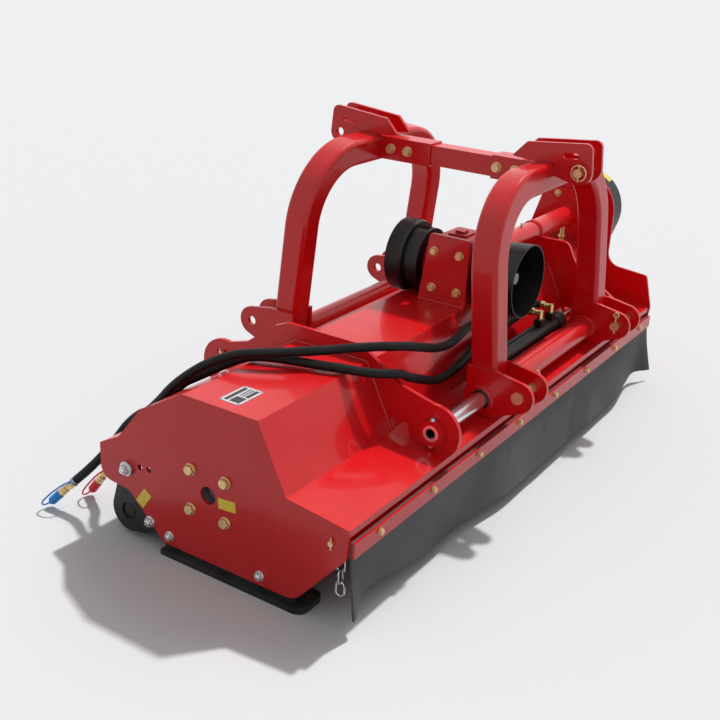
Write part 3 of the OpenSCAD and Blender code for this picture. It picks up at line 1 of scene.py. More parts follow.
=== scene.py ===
import json
import logging
import math
from dataclasses import dataclass
from enum import Enum
from typing import Callable, Optional, Sequence

import bmesh
import bpy
from mathutils import Matrix, Vector, noise


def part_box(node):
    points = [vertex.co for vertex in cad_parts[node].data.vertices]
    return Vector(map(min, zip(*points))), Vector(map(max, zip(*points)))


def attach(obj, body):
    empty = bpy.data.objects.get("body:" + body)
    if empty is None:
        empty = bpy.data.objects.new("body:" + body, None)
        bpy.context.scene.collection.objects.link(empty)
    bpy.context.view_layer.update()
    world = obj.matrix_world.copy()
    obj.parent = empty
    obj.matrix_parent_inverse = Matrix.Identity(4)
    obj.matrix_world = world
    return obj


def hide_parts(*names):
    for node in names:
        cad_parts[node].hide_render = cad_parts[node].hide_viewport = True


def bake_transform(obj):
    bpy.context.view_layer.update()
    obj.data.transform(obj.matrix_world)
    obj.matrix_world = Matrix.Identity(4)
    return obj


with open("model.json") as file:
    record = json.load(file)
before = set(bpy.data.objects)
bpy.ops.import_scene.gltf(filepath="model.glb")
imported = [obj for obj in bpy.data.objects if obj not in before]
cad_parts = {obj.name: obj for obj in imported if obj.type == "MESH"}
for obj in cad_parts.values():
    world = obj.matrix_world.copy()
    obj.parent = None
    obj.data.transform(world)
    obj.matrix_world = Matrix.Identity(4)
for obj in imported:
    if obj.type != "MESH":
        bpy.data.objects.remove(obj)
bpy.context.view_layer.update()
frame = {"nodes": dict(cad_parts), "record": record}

LOG = logging.getLogger("flail_mower")
Point = Sequence[float]
Colour = tuple[float, float, float, float]
UP = Vector((0, 0, 1))

# Lengths are metres. X_NEAR is the outer face of the end plate away from the belts.
X_NEAR = -1.0138
X_FAR = X_NEAR + 1.982
PLATE_T = 0.008
ROTOR_Y = 0.012
ROTOR_Z = 0.225
DECK_TOP = ROTOR_Z + 0.248
HITCH_X = X_NEAR + 1.144
GEAR_X = X_NEAR + 1.085
GEAR_Y = ROTOR_Y - 0.076
GEAR_Z = DECK_TOP + 0.102
ROD_Y = 0.351
ROD_Z = 0.335
NEAR_BRACKET_X = X_NEAR + 0.4615
FAR_BRACKET_X = X_NEAR + 1.6105
BRACKET_T = 0.012
TUBE_R = 0.035
SQUARE = tuple((a, b) for a in (-1, 1) for b in (-1, 1))


def srgb(red: int, green: int, blue: int) -> Colour:
    """Turns a screen colour into the linear colour that a shader takes.

    Args:
        red: Red, 0 to 255.
        green: Green, 0 to 255.
        blue: Blue, 0 to 255.

    Returns:
        The linear colour with full alpha.
    """
    def one(value: int) -> float:
        """Linear value of one channel."""
        part = value / 255.0
        return part / 12.92 if part <= 0.04045 else ((part + 0.055) / 1.055) ** 2.4

    return one(red), one(green), one(blue), 1.0


class Grain(Enum):
    """Fine relief of a finish."""

    ORANGE_PEEL = "orange peel"
    CAST = "cast"
    BRUSHED = "brushed"
    MOULDED = "moulded"
    SLEEVE = "sleeve"


class Tree:
    """Adds nodes to a shader tree and joins them."""

    def __init__(self, tree: bpy.types.NodeTree) -> None:
        """Keeps the tree."""
        self.tree = tree

    def add(self, kind: str, inputs: Optional[dict[str, float]] = None, **values: object) -> bpy.types.Node:
        """Adds a node and sets it.

        Args:
            kind: Node class name.
            inputs: Values of its sockets, by their names.
            values: Its properties, by their names.

        Returns:
            The new node.
        """
        node = self.tree.nodes.new(kind)
        for key, value in values.items():
            setattr(node, key, value)
        for key, value in (inputs or {}).items():
            node.inputs[key].default_value = value
        return node

    def join(self, source: object, target: bpy.types.NodeSocket) -> None:
        """Links a socket to another one, or sets a plain number or colour.

        Args:
            source: Socket, number or colour.
            target: Input socket.
        """
        if isinstance(source, bpy.types.NodeSocket):
            self.tree.links.new(source, target)
        else:
            target.default_value = source

    def math(self, how: str, first: object, second: object) -> bpy.types.NodeSocket:
        """Adds a math node for two sockets or numbers.

        Args:
            how: Math operation.
            first: Socket or number.
            second: Socket or number.

        Returns:
            The result socket.
        """
        node = self.add("ShaderNodeMath", operation=how)
        self.join(first, node.inputs[0])
        self.join(second, node.inputs[1])
        return node.outputs[0]

    def mix(self, mask: object, first: object, second: object) -> bpy.types.NodeSocket:
        """Mixes two colours by a mask.

        Args:
            mask: Socket or number for the share of the second colour.
            first: Socket or colour.
            second: Socket or colour.

        Returns:
            The colour socket.
        """
        node = self.add("ShaderNodeMix", data_type="RGBA")
        for slot, value in ((0, mask), (6, first), (7, second)):
            self.join(value, node.inputs[slot])
        return node.outputs[2]

    def span(self, value: bpy.types.NodeSocket, ends: dict[str, float]) -> bpy.types.NodeSocket:
        """Maps a value from one range to another.

        Args:
            value: Socket to map.
            ends: Ends of the ranges that aren't 0 and 1, by their socket names.

        Returns:
            The result socket.
        """
        node = self.add("ShaderNodeMapRange", ends)
        self.join(value, node.inputs["Value"])
        return node.outputs["Result"]

    def clamp(self, value: bpy.types.NodeSocket) -> bpy.types.NodeSocket:
        """Keeps a value between 0 and 1.

        Args:
            value: Socket to clamp.

        Returns:
            The result socket.
        """
        node = self.add("ShaderNodeClamp")
        self.join(value, node.inputs["Value"])
        return node.outputs["Result"]

    def place(self) -> bpy.types.NodeSocket:
        """Coordinates of the piece itself."""
        return self.add("ShaderNodeTexCoord").outputs["Object"]

    def cloud(self, where: bpy.types.NodeSocket, scale: object, detail: float,
              rough: float = 0.5) -> bpy.types.NodeSocket:
        """Adds noise.

        Args:
            where: Coordinates.
            scale: Socket or number for its scale.
            detail: Number of octaves.
            rough: Share that each finer octave keeps.

        Returns:
            The value socket.
        """
        node = self.add("ShaderNodeTexNoise", {"Detail": detail, "Roughness": rough})
        self.join(where, node.inputs["Vector"])
        self.join(scale, node.inputs["Scale"])
        return node.outputs["Fac"]

    def rounded(self, radius: bpy.types.NodeSocket) -> bpy.types.NodeSocket:
        """Normal that turns smoothly over sharp edges.

        Args:
            radius: Socket for the edges' radius.

        Returns:
            The normal socket.
        """
        node = self.add("ShaderNodeBevel", samples=4)
        self.join(radius, node.inputs["Radius"])
        return node.outputs["Normal"]

    def group(self, tree: bpy.types.NodeTree, **inputs: float) -> bpy.types.NodeSocket:
        """Places a shared group with its own values and gives its output."""
        return self.add("ShaderNodeGroup", inputs, node_tree=tree).outputs[0]


class Effects:
    """Shader node groups that the finishes share, each built once."""

    def __init__(self) -> None:
        """Builds every group."""
        self.mottle = self.make_mottle()
        self.wear = self.make_wear()
        self.dust = self.make_dust()
        self.relief = self.make_relief()
        self.soft_edge = self.make_soft_edge()

    @staticmethod
    def start(name: str, takes: dict[str, float], gives: str, kind: str = "NodeSocketFloat") -> tuple[
            Tree, bpy.types.bpy_prop_collection, bpy.types.NodeSocket]:
        """Starts a group with number inputs and one output.

        Args:
            name: Group name.
            takes: Input names with their default values.
            gives: Output name.
            kind: Socket kind of the output.

        Returns:
            The helper of the group, the sockets of its inputs and the socket of its output.
        """
        tree = bpy.data.node_groups.new(name, "ShaderNodeTree")
        for label, value in takes.items():
            socket = tree.interface.new_socket(label, in_out="INPUT", socket_type="NodeSocketFloat")
            socket.default_value = value
        tree.interface.new_socket(gives, in_out="OUTPUT", socket_type=kind)
        t = Tree(tree)
        return t, t.add("NodeGroupInput").outputs, t.add("NodeGroupOutput").inputs[gives]

    def make_mottle(self) -> bpy.types.NodeTree:
        """Slow unevenness of a coat, as a value from 0 to 1.

        Returns:
            The group.
        """
        t, takes, result = self.start("mottle", {"Scale": 6.0}, "Value")
        cloud = t.cloud(t.place(), takes["Scale"], 5.0, 0.55)
        t.join(t.span(cloud, {"From Min": 0.3, "From Max": 0.7}), result)
        return t.tree

    def make_soft_edge(self) -> bpy.types.NodeTree:
        """Normal that rounds sharp edges a little.

        Returns:
            The group.
        """
        t, takes, result = self.start("soft_edge", {"Radius": 0.0015}, "Normal", "NodeSocketVector")
        t.join(t.rounded(takes["Radius"]), result)
        return t.tree

    def make_wear(self) -> bpy.types.NodeTree:
        """Mask of rubbed edges, broken up by noise.

        Returns:
            The group.
        """
        t, takes, result = self.start("edge_wear", {"Radius": 0.002, "Amount": 0.5}, "Mask")
        dot = t.add("ShaderNodeVectorMath", operation="DOT_PRODUCT")
        t.join(t.rounded(takes["Radius"]), dot.inputs[0])
        t.join(t.add("ShaderNodeNewGeometry").outputs["Normal"], dot.inputs[1])
        edge = t.math("SUBTRACT", 1.0, dot.outputs["Value"])
        patchy = t.math("MULTIPLY", t.math("SUBTRACT", t.cloud(t.place(), 60.0, 6.0), 0.45), 18.0)
        worn = t.math("MULTIPLY", t.math("MULTIPLY", edge, patchy), takes["Amount"])
        t.join(t.clamp(worn), result)
        return t.tree

    def make_dust(self) -> bpy.types.NodeTree:
        """Mask of dust that lies on faces turned up, thicker near the ground.

        Returns:
            The group.
        """
        t, takes, result = self.start("dust", {"Amount": 0.3}, "Mask")
        face = t.add("ShaderNodeNewGeometry")
        heights = []
        for label in ("Normal", "Position"):
            split = t.add("ShaderNodeSeparateXYZ")
            t.join(face.outputs[label], split.inputs[0])
            heights.append(split.outputs["Z"])
        upward = t.math("MULTIPLY", t.math("MAXIMUM", heights[0], 0.0), 0.55)
        low = t.math("MULTIPLY", t.span(heights[1], {"From Min": 0.25, "From Max": 0.0}), 0.6)
        patchy = t.math("MULTIPLY", t.math("SUBTRACT", t.cloud(t.place(), 14.0, 7.0, 0.65), 0.32), 2.4)
        lies = t.math("MULTIPLY", t.math("ADD", upward, low), patchy)
        t.join(t.clamp(t.math("MULTIPLY", lies, takes["Amount"])), result)
        return t.tree

    def make_relief(self) -> bpy.types.NodeTree:
        """Fine pebbled height, stretched along X by its own input.

        Returns:
            The group.
        """
        t, takes, result = self.start("relief", {"Scale": 400.0, "Stretch": 1.0}, "Height")
        spread = t.add("ShaderNodeCombineXYZ", {"Y": 1.0, "Z": 1.0})
        t.join(takes["Stretch"], spread.inputs["X"])
        scaled = t.add("ShaderNodeVectorMath", operation="MULTIPLY")
        t.join(t.place(), scaled.inputs[0])
        t.join(spread.outputs[0], scaled.inputs[1])
        t.join(t.cloud(scaled.outputs["Vector"], takes["Scale"], 3.0), result)
        return t.tree


@dataclass(frozen=True)
class Finish:
    """One surface finish. Colours are linear, radii are metres."""

    name: str
    colour: Colour
    shade: Colour
    rough: tuple[float, float]
    metallic: float = 0.0
    coat: float = 0.0
    coat_rough: float = 0.05
    specular: float = 0.5
    mottle_scale: float = 5.0
    grain: Grain = Grain.MOULDED
    grain_scale: float = 400.0
    grain_depth: float = 0.0003
    grain_strength: float = 0.15
    edge_radius: float = 0.0015
    wear: float = 0.0
    wear_colour: Colour = (0.35, 0.34, 0.33, 1.0)
    dust: float = 0.25
    dust_colour: Colour = (0.50, 0.46, 0.41, 1.0)

    def build(self, effects: Effects) -> bpy.types.Material:
        """Makes the material.

        Args:
            effects: Shared node groups.

        Returns:
            The finished material.
        """
        material = bpy.data.materials.new(self.name)
        material.use_nodes = True
        material.diffuse_color = self.colour
        t = Tree(material.node_tree)
        shader = material.node_tree.nodes["Principled BSDF"].inputs
        shader["Metallic"].default_value = self.metallic
        shader["Coat Weight"].default_value = self.coat
        shader["Coat Roughness"].default_value = self.coat_rough
        shader["Specular IOR Level"].default_value = self.specular
        mottle = t.group(effects.mottle, Scale=self.mottle_scale)
        colour = t.mix(mottle, self.colour, self.shade)
        if self.wear > 0:
            worn = t.group(effects.wear, Radius=self.edge_radius * 1.4, Amount=self.wear)
            colour = t.mix(worn, colour, self.wear_colour)
        dust = t.group(effects.dust, Amount=self.dust)
        t.join(t.mix(dust, colour, self.dust_colour), shader["Base Color"])
        rough = t.span(mottle, {"To Min": self.rough[0], "To Max": self.rough[1]})
        t.join(t.math("ADD", rough, t.math("MULTIPLY", dust, 0.5)), shader["Roughness"])
        bump = t.add("ShaderNodeBump", {"Strength": self.grain_strength, "Distance": self.grain_depth})
        t.join(self.height(t, effects), bump.inputs["Height"])
        t.join(t.group(effects.soft_edge, Radius=self.edge_radius), bump.inputs["Normal"])
        t.join(bump.outputs["Normal"], shader["Normal"])
        return material

    def height(self, t: Tree, effects: Effects) -> bpy.types.NodeSocket:
        """Height of the fine relief.

        Args:
            t: Helper of the material's tree.
            effects: Shared node groups.

        Returns:
            The socket for a Bump node.
        """
        if self.grain is Grain.SLEEVE:
            weave = t.add("ShaderNodeTexWave", {"Scale": self.grain_scale, "Distortion": 1.5},
                          wave_type="BANDS", bands_direction="DIAGONAL")
            t.join(t.add("ShaderNodeUVMap").outputs["UV"], weave.inputs["Vector"])
            return weave.outputs["Fac"]
        stretch = 0.04 if self.grain is Grain.BRUSHED else 1.0
        return t.group(effects.relief, Scale=self.grain_scale, Stretch=stretch)


class Finishes:
    """All finishes of the machine, by the record's slot or by their own name."""

    LIST = (
        Finish("red_paint", srgb(213, 9, 19), srgb(201, 7, 15), (0.24, 0.34), coat=0.3, coat_rough=0.05,
               specular=0.34, grain=Grain.ORANGE_PEEL, grain_scale=260.0, grain_strength=0.05, wear=0.10,
               wear_colour=srgb(120, 8, 11), dust=0.08, dust_colour=srgb(214, 150, 140)),
        Finish("gearbox_paint", srgb(166, 7, 12), srgb(148, 5, 9), (0.34, 0.5), coat=0.2, coat_rough=0.18,
               specular=0.34, grain=Grain.CAST, grain_scale=190.0, grain_depth=0.0009, grain_strength=0.5,
               edge_radius=0.004, dust=0.1),
        Finish("black_paint", srgb(17, 17, 18), srgb(25, 25, 26), (0.32, 0.46), specular=0.3,
               grain=Grain.ORANGE_PEEL, grain_scale=240.0, grain_strength=0.1, wear=0.12,
               wear_colour=srgb(80, 78, 76), dust=0.12),
        Finish("black_plastic", srgb(13, 13, 14), srgb(20, 20, 21), (0.3, 0.42), specular=0.32,
               grain=Grain.MOULDED, grain_scale=700.0, grain_strength=0.2, dust=0.12),
        Finish("black_rubber", srgb(86, 86, 86), srgb(74, 74, 74), (0.55, 0.68), specular=0.3,
               grain=Grain.MOULDED, grain_scale=320.0, grain_strength=0.12, dust=0.06, mottle_scale=2.2),
        Finish("hose_cover", srgb(12, 12, 13), srgb(20, 20, 21), (0.42, 0.6), specular=0.22,
               grain=Grain.SLEEVE, grain_scale=60.0, grain_depth=0.0008, grain_strength=0.6, dust=0.06,
               mottle_scale=40.0),
        Finish("zinc", srgb(228, 200, 148), srgb(200, 170, 120), (0.28, 0.42), metallic=0.8,
               grain=Grain.ORANGE_PEEL, grain_scale=900.0, grain_strength=0.08, edge_radius=0.0005, dust=0.06,
               mottle_scale=45.0),
        Finish("white_zinc", srgb(214, 215, 216), srgb(186, 187, 190), (0.18, 0.32), metallic=1.0,
               grain=Grain.ORANGE_PEEL, grain_scale=900.0, grain_strength=0.08, edge_radius=0.0005, dust=0.06,
               mottle_scale=45.0),
        Finish("chrome", srgb(236, 237, 240), srgb(224, 225, 229), (0.18, 0.26), metallic=1.0,
               grain=Grain.BRUSHED, grain_scale=900.0, grain_strength=0.03, edge_radius=0.0008, dust=0.05),
        Finish("bare_steel", srgb(156, 156, 158), srgb(128, 128, 132), (0.3, 0.48), metallic=1.0,
               grain=Grain.BRUSHED, grain_scale=700.0, grain_strength=0.12, edge_radius=0.0008, dust=0.1,
               mottle_scale=20.0),
        Finish("brass", srgb(222, 198, 142), srgb(192, 168, 116), (0.2, 0.34), metallic=1.0,
               grain=Grain.ORANGE_PEEL, grain_scale=700.0, grain_strength=0.08, edge_radius=0.0006, dust=0.06,
               mottle_scale=40.0),
        Finish("data_plate", srgb(222, 223, 226), srgb(208, 209, 213), (0.3, 0.42), metallic=0.4,
               grain=Grain.BRUSHED, grain_scale=800.0, grain_strength=0.05, edge_radius=0.0003, dust=0.1,
               mottle_scale=30.0),
        Finish("blue_plastic", srgb(20, 148, 238), srgb(14, 134, 224), (0.3, 0.42), grain=Grain.MOULDED,
               grain_scale=500.0, grain_strength=0.1, dust=0.06),
        Finish("red_plastic", srgb(250, 36, 48), srgb(240, 28, 40), (0.3, 0.42), grain=Grain.MOULDED,
               grain_scale=500.0, grain_strength=0.1, dust=0.06),
        Finish("yellow_film", srgb(240, 216, 40), srgb(230, 202, 30), (0.22, 0.3), coat=0.3, coat_rough=0.1,
               grain=Grain.MOULDED, grain_scale=1400.0, grain_strength=0.1, edge_radius=0.0002, dust=0.05),
        Finish("dark_print", srgb(30, 30, 34), srgb(40, 40, 44), (0.34, 0.46), grain=Grain.MOULDED,
               grain_scale=900.0, grain_strength=0.05, edge_radius=0.0002, dust=0.1),
    )

    def __init__(self, effects: Effects) -> None:
        """Builds every material."""
        self.by_name = {finish.name: finish.build(effects) for finish in self.LIST}

    def dress(self, piece: bpy.types.Object, name: str) -> None:
        """Gives a piece one finish in all its slots."""
        piece.data.materials.clear()
        piece.data.materials.append(self.by_name[name])


class Shapes:
    """Mesh makers that the sub-assemblies share."""

    @staticmethod
    def angles(count: int) -> list[float]:
        """Even angles round a circle."""
        return [2 * math.pi * k / count for k in range(count)]

    @staticmethod
    def skin(rings: int, sides: int, closed: bool = False, capped: bool = True) -> list[tuple[int, ...]]:
        """Faces over a row of rings of points.

        Args:
            rings: Number of rings.
            sides: Points of each ring.
            closed: Whether the last ring joins the first.
            capped: Whether an open row gets a face at each end.

        Returns:
            Point numbers of each face.
        """
        faces = [(i * sides + k, i * sides + (k + 1) % sides,
                  (i + 1) % rings * sides + (k + 1) % sides, (i + 1) % rings * sides + k)
                 for i in range(rings if closed else rings - 1) for k in range(sides)]
        if capped and not closed:
            faces += [tuple(range(sides)), tuple(range((rings - 1) * sides, rings * sides))]
        return faces

    @staticmethod
    def from_faces(name: str, points: Sequence[Point], faces: Sequence[Sequence[int]],
                   smooth: bool = True) -> bpy.types.Object:
        """Makes a mesh object.

        Args:
            name: Piece name.
            points: Vertices.
            faces: Vertex numbers of each face.
            smooth: Whether faces are shaded smooth.

        Returns:
            The linked object.
        """
        mesh = bpy.data.meshes.new(name)
        mesh.from_pydata([tuple(p) for p in points], [], [tuple(f) for f in faces])
        tidy = bmesh.new()
        tidy.from_mesh(mesh)
        bmesh.ops.recalc_face_normals(tidy, faces=tidy.faces)
        tidy.to_mesh(mesh)
        tidy.free()
        mesh.polygons.foreach_set("use_smooth", [smooth] * len(mesh.polygons))
        piece = bpy.data.objects.new(name, mesh)
        bpy.context.scene.collection.objects.link(piece)
        return piece

    @staticmethod
    def curve_through(points: Sequence[Point], step: float) -> list[Vector]:
        """Even points on a smooth curve through some points.

        Args:
            points: Points that the curve goes through.
            step: Spacing of the result.

        Returns:
            Points about one step apart, both ends included.
        """
        knots = [Vector(p) for p in points]
        ends = [knots[0] * 2 - knots[1]] + knots + [knots[-1] * 2 - knots[-2]]
        dense: list[Vector] = []
        for a, b, c, d in zip(ends, ends[1:], ends[2:], ends[3:]):
            t1 = max((b - a).length, 1e-6) ** 0.5
            t2 = t1 + max((c - b).length, 1e-6) ** 0.5
            t3 = t2 + max((d - c).length, 1e-6) ** 0.5
            for k in range(24):
                u = t1 + (t2 - t1) * k / 24
                p = a.lerp(b, u / t1)
                q = b.lerp(c, (u - t1) / (t2 - t1))
                r = c.lerp(d, (u - t2) / (t3 - t2))
                v = p.lerp(q, u / t2)
                w = q.lerp(r, (u - t1) / (t3 - t1))
                dense.append(v.lerp(w, (u - t1) / (t2 - t1)))
        dense.append(knots[-1])
        total = sum((q - p).length for p, q in zip(dense, dense[1:]))
        count = max(2, round(total / step))
        result = [dense[0]]
        gone, want, index = 0.0, total / count, 0
        while len(result) < count and index < len(dense) - 1:
            span = (dense[index + 1] - dense[index]).length
            if gone + span >= want - 1e-9:
                result.append(dense[index].lerp(dense[index + 1], (want - gone) / span))
                want += total / count
            else:
                gone += span
                index += 1
        return result + [dense[-1]]

    @classmethod
    def tube(cls, name: str, path: Sequence[Vector], radius: Callable[[float], float], sides: int = 12,
             closed: bool = False) -> bpy.types.Object:
        """Sweeps a round section along a path, with UVs in metres.

        Args:
            name: Piece name.
            path: Middle points.
            radius: Radius at a distance along the path.
            sides: Corners of the section.
            closed: Whether the path is a ring.

        Returns:
            The tube.
        """
        count = len(path)
        side = Vector((0.3, 0.2, 1.0))
        points: list[Vector] = []
        gone = 0.0
        gones: list[float] = []
        for i, here in enumerate(path):
            ahead = path[(i + 1) % count] if closed else path[min(i + 1, count - 1)]
            behind = path[i - 1] if closed or i else path[0]
            along = (ahead - behind).normalized()
            side = (side - along * side.dot(along)).normalized()
            across = along.cross(side)
            if i:
                gone += (here - path[i - 1]).length
            gones.append(gone)
            r = radius(gone)
            points += [here + (side * math.cos(w) + across * math.sin(w)) * r for w in cls.angles(sides)]
        piece = cls.from_faces(name, points, cls.skin(count, sides, closed))
        layer = piece.data.uv_layers.new(name="along")
        for face in piece.data.polygons:
            for loop in face.loop_indices:
                ring, k = divmod(piece.data.loops[loop].vertex_index, sides)
                layer.data[loop].uv = (gones[ring], k / sides * 0.08)
        return piece

    @classmethod
    def turned(cls, name: str, profile: Sequence[tuple[float, float]], start: Vector, along: Vector,
               sides: int = 28) -> bpy.types.Object:
        """Turns a profile round an axis.

        Args:
            name: Piece name.
            profile: (distance along the axis, radius) pairs, closed at both ends.
            start: Where distance 0 is.
            along: Axis direction.
            sides: Corners of each ring.

        Returns:
            The turned piece.
        """
        axis = along.normalized()
        turn = axis.to_track_quat("Z", "Y").to_matrix()
        points = [start + axis * s + turn @ Vector((math.cos(w), math.sin(w), 0.0)) * r
                  for s, r in profile for w in cls.angles(sides)]
        piece = cls.from_faces(name, points, cls.skin(len(profile), sides))
        piece.data.set_sharp_from_angle(angle=math.radians(32))
        return piece

    @classmethod
    def hexagon(cls, start: Vector, along: Vector, corner: float, height: float) -> bpy.types.Object:
        """A hexagon head or nut whose outer corners are chamfered to a cone.

        Args:
            start: Middle of its seat.
            along: Direction from the seat to its top.
            corner: Radius over the corners.
            height: Height over the seat.

        Returns:
            The hexagon.
        """
        axis = along.normalized()
        turn = axis.to_track_quat("Z", "Y").to_matrix()
        sides, flat = 24, corner * math.cos(math.pi / 6)
        rings = ((0.0, 0.0001), (0.0, corner * 0.97), (height * 0.05, corner), (height * 0.82, corner),
                 (height, flat * 0.97), (height, 0.0001))
        points = []
        for rise, limit in rings:
            for w in cls.angles(sides):
                reach = min(limit, flat / math.cos(w % (math.pi / 3) - math.pi / 6))
                points.append(start + axis * rise + turn @ Vector((math.cos(w), math.sin(w), 0.0)) * reach)
        piece = cls.from_faces("hexagon", points, cls.skin(len(rings), sides, capped=False))
        piece.data.set_sharp_from_angle(angle=math.radians(28))
        return piece

    @classmethod
    def thread(cls, start: Vector, along: Vector, radius: float, length: float) -> bpy.types.Object:
        """A threaded end with a chamfered tip.

        Args:
            start: Where the thread begins.
            along: Direction to its tip.
            radius: Outer radius.
            length: Length to the tip.

        Returns:
            The thread.
        """
        pitch, depth, chamfer = 0.002, 0.0009, 0.0016
        profile = [(0.0, 0.0001), (0.0, radius)]
        for k in range(int((length - pitch) / pitch)):
            profile += [(k * pitch + pitch / 2, radius - depth), ((k + 1) * pitch, radius)]
        profile += [(length, radius - chamfer), (length, 0.0001)]
        return cls.turned("thread", profile, start, along, 20)

    @staticmethod
    def joined(name: str, pieces: Sequence[bpy.types.Object]) -> bpy.types.Object:
        """Joins pieces into one object and removes them.

        Args:
            name: Name of the result.
            pieces: Pieces to join.

        Returns:
            The joined object.
        """
        whole = bmesh.new()
        for piece in pieces:
            whole.from_mesh(piece.data)
        mesh = bpy.data.meshes.new(name)
        whole.to_mesh(mesh)
        whole.free()
        result = bpy.data.objects.new(name, mesh)
        bpy.context.scene.collection.objects.link(result)
        for piece in pieces:
            bpy.data.objects.remove(piece)
        return result


class Workshop:
    """What every sub-assembly needs: finishes, and one way to fit a piece to the machine."""

    def __init__(self) -> None:
        """Builds the finishes."""
        self.finishes = Finishes(Effects())

    def fit(self, piece: bpy.types.Object, body: Optional[str], slot: str, finish: str = "",
            replaces: Sequence[str] = ()) -> bpy.types.Object:
        """Dresses a piece and makes it move with a body.

        Args:
            piece: New piece.
            body: Body that carries it, or None for a piece that rides on no body.
            slot: Material slot of the record.
            finish: Finish name where it isn't the slot's own.
            replaces: CAD nodes that the piece stands for.

        Returns:
            The same piece.
        """
        self.finishes.dress(piece, finish or slot)
        if body:
            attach(piece, body)
        if replaces:
            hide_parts(*replaces)
        LOG.info("%s rides on %s, finish %s", piece.name, body, finish or slot)
        return piece


@dataclass
class Studio:
    """Floor, light and camera."""

    floor_half: float = 60.0
    floor_tone: tuple[int, int, int] = (212, 212, 213)
    floor_bounce: tuple[int, int, int] = (156, 156, 157)
    sun_from: tuple[float, float, float] = (0.56, -0.03, 0.83)
    sun_power: float = 2.9
    sun_spread: float = 2.6
    glow_power: float = 0.4
    glow_spread: float = 24.0
    sky_power: float = 0.45
    sky_seen: float = 0.95
    sky_tint: Colour = (0.97, 0.98, 1.0, 1.0)
    lens: float = 53.43
    sensor: float = 36.0
    sight: float = 200.0
    yaw: float = 57.70
    pitch: float = 22.50
    roll: float = 3.02
    eye: tuple[float, float, float] = (-1.7426 + X_NEAR, -1.5212 + ROTOR_Y, 1.3279 + ROTOR_Z)

    def build(self) -> None:
        """Makes the camera, floor, lamp and sky."""
        self.camera()
        self.floor()
        self.lights()
        bpy.context.scene.view_settings.view_transform = "Standard"

    def camera(self) -> None:
        """Places the camera at the photo's angle."""
        data = bpy.data.cameras.new("camera")
        data.lens = self.lens
        data.sensor_width = self.sensor
        data.clip_end = self.sight
        yaw, pitch, roll = (math.radians(v) for v in (self.yaw, self.pitch, self.roll))
        ahead = Vector((math.sin(yaw) * math.cos(pitch), math.cos(yaw) * math.cos(pitch), -math.sin(pitch)))
        right = Vector((math.cos(yaw), -math.sin(yaw), 0.0))
        up = right.cross(ahead)
        side = right * math.cos(roll) + up * math.sin(roll)
        turn = Matrix((side, side.cross(ahead), -ahead)).transposed()
        eye = bpy.data.objects.new("camera", data)
        eye.matrix_world = Matrix.Translation(self.eye) @ turn.to_4x4()
        bpy.context.scene.collection.objects.link(eye)
        bpy.context.scene.camera = eye

    def floor(self) -> None:
        """Lays a plain pale floor."""
        h = self.floor_half
        piece = Shapes.from_faces("floor", [(-h, -h, 0), (h, -h, 0), (h, h, 0), (-h, h, 0)], [(0, 1, 2, 3)])
        material = bpy.data.materials.new("pale_floor")
        material.use_nodes = True
        shader = material.node_tree.nodes["Principled BSDF"]
        t = Tree(material.node_tree)
        tone = t.mix(self.seen(t), srgb(*self.floor_bounce), srgb(*self.floor_tone))
        t.join(tone, shader.inputs["Base Color"])
        shader.inputs["Roughness"].default_value = 0.85
        shader.inputs["Specular IOR Level"].default_value = 0.2
        piece.data.materials.append(material)

    def lights(self) -> None:
        """Makes a key lamp, a wide glow for the highlights, and an even sky that metal shows as white."""
        key = self.lamp("key", self.sun_power, self.sun_spread)
        key.visible_glossy = False
        self.lamp("glow", self.glow_power, self.glow_spread)
        world = bpy.data.worlds.new("sky")
        bpy.context.scene.world = world
        world.use_nodes = True
        back = world.node_tree.nodes["Background"]
        back.inputs["Color"].default_value = self.sky_tint
        t = Tree(world.node_tree)
        extra = t.math("MULTIPLY", self.seen(t), self.sky_seen - self.sky_power)
        t.join(t.math("ADD", extra, self.sky_power), back.inputs["Strength"])

    @staticmethod
    def seen(t: Tree) -> bpy.types.NodeSocket:
        """Mask of rays from the camera and from bright surfaces.

        Args:
            t: Helper of the tree that takes the mask.

        Returns:
            The mask socket.
        """
        ray = t.add("ShaderNodeLightPath").outputs
        return t.math("MAXIMUM", ray["Is Camera Ray"], ray["Is Glossy Ray"])

    def lamp(self, name: str, power: float, spread: float) -> bpy.types.Object:
        """Makes a sun lamp that shines from the same side as the photo's sun.

        Args:
            name: Name of the lamp.
            power: Strength of its light.
            spread: Angle that it fills in the sky, in degrees.

        Returns:
            The lamp.
        """
        data = bpy.data.lights.new(name, "SUN")
        data.energy = power
        data.angle = math.radians(spread)
        lamp = bpy.data.objects.new(name, data)
        lamp.rotation_mode = "QUATERNION"
        lamp.rotation_quaternion = Vector(self.sun_from).to_track_quat("Z", "Y")
        bpy.context.scene.collection.objects.link(lamp)
        return lamp


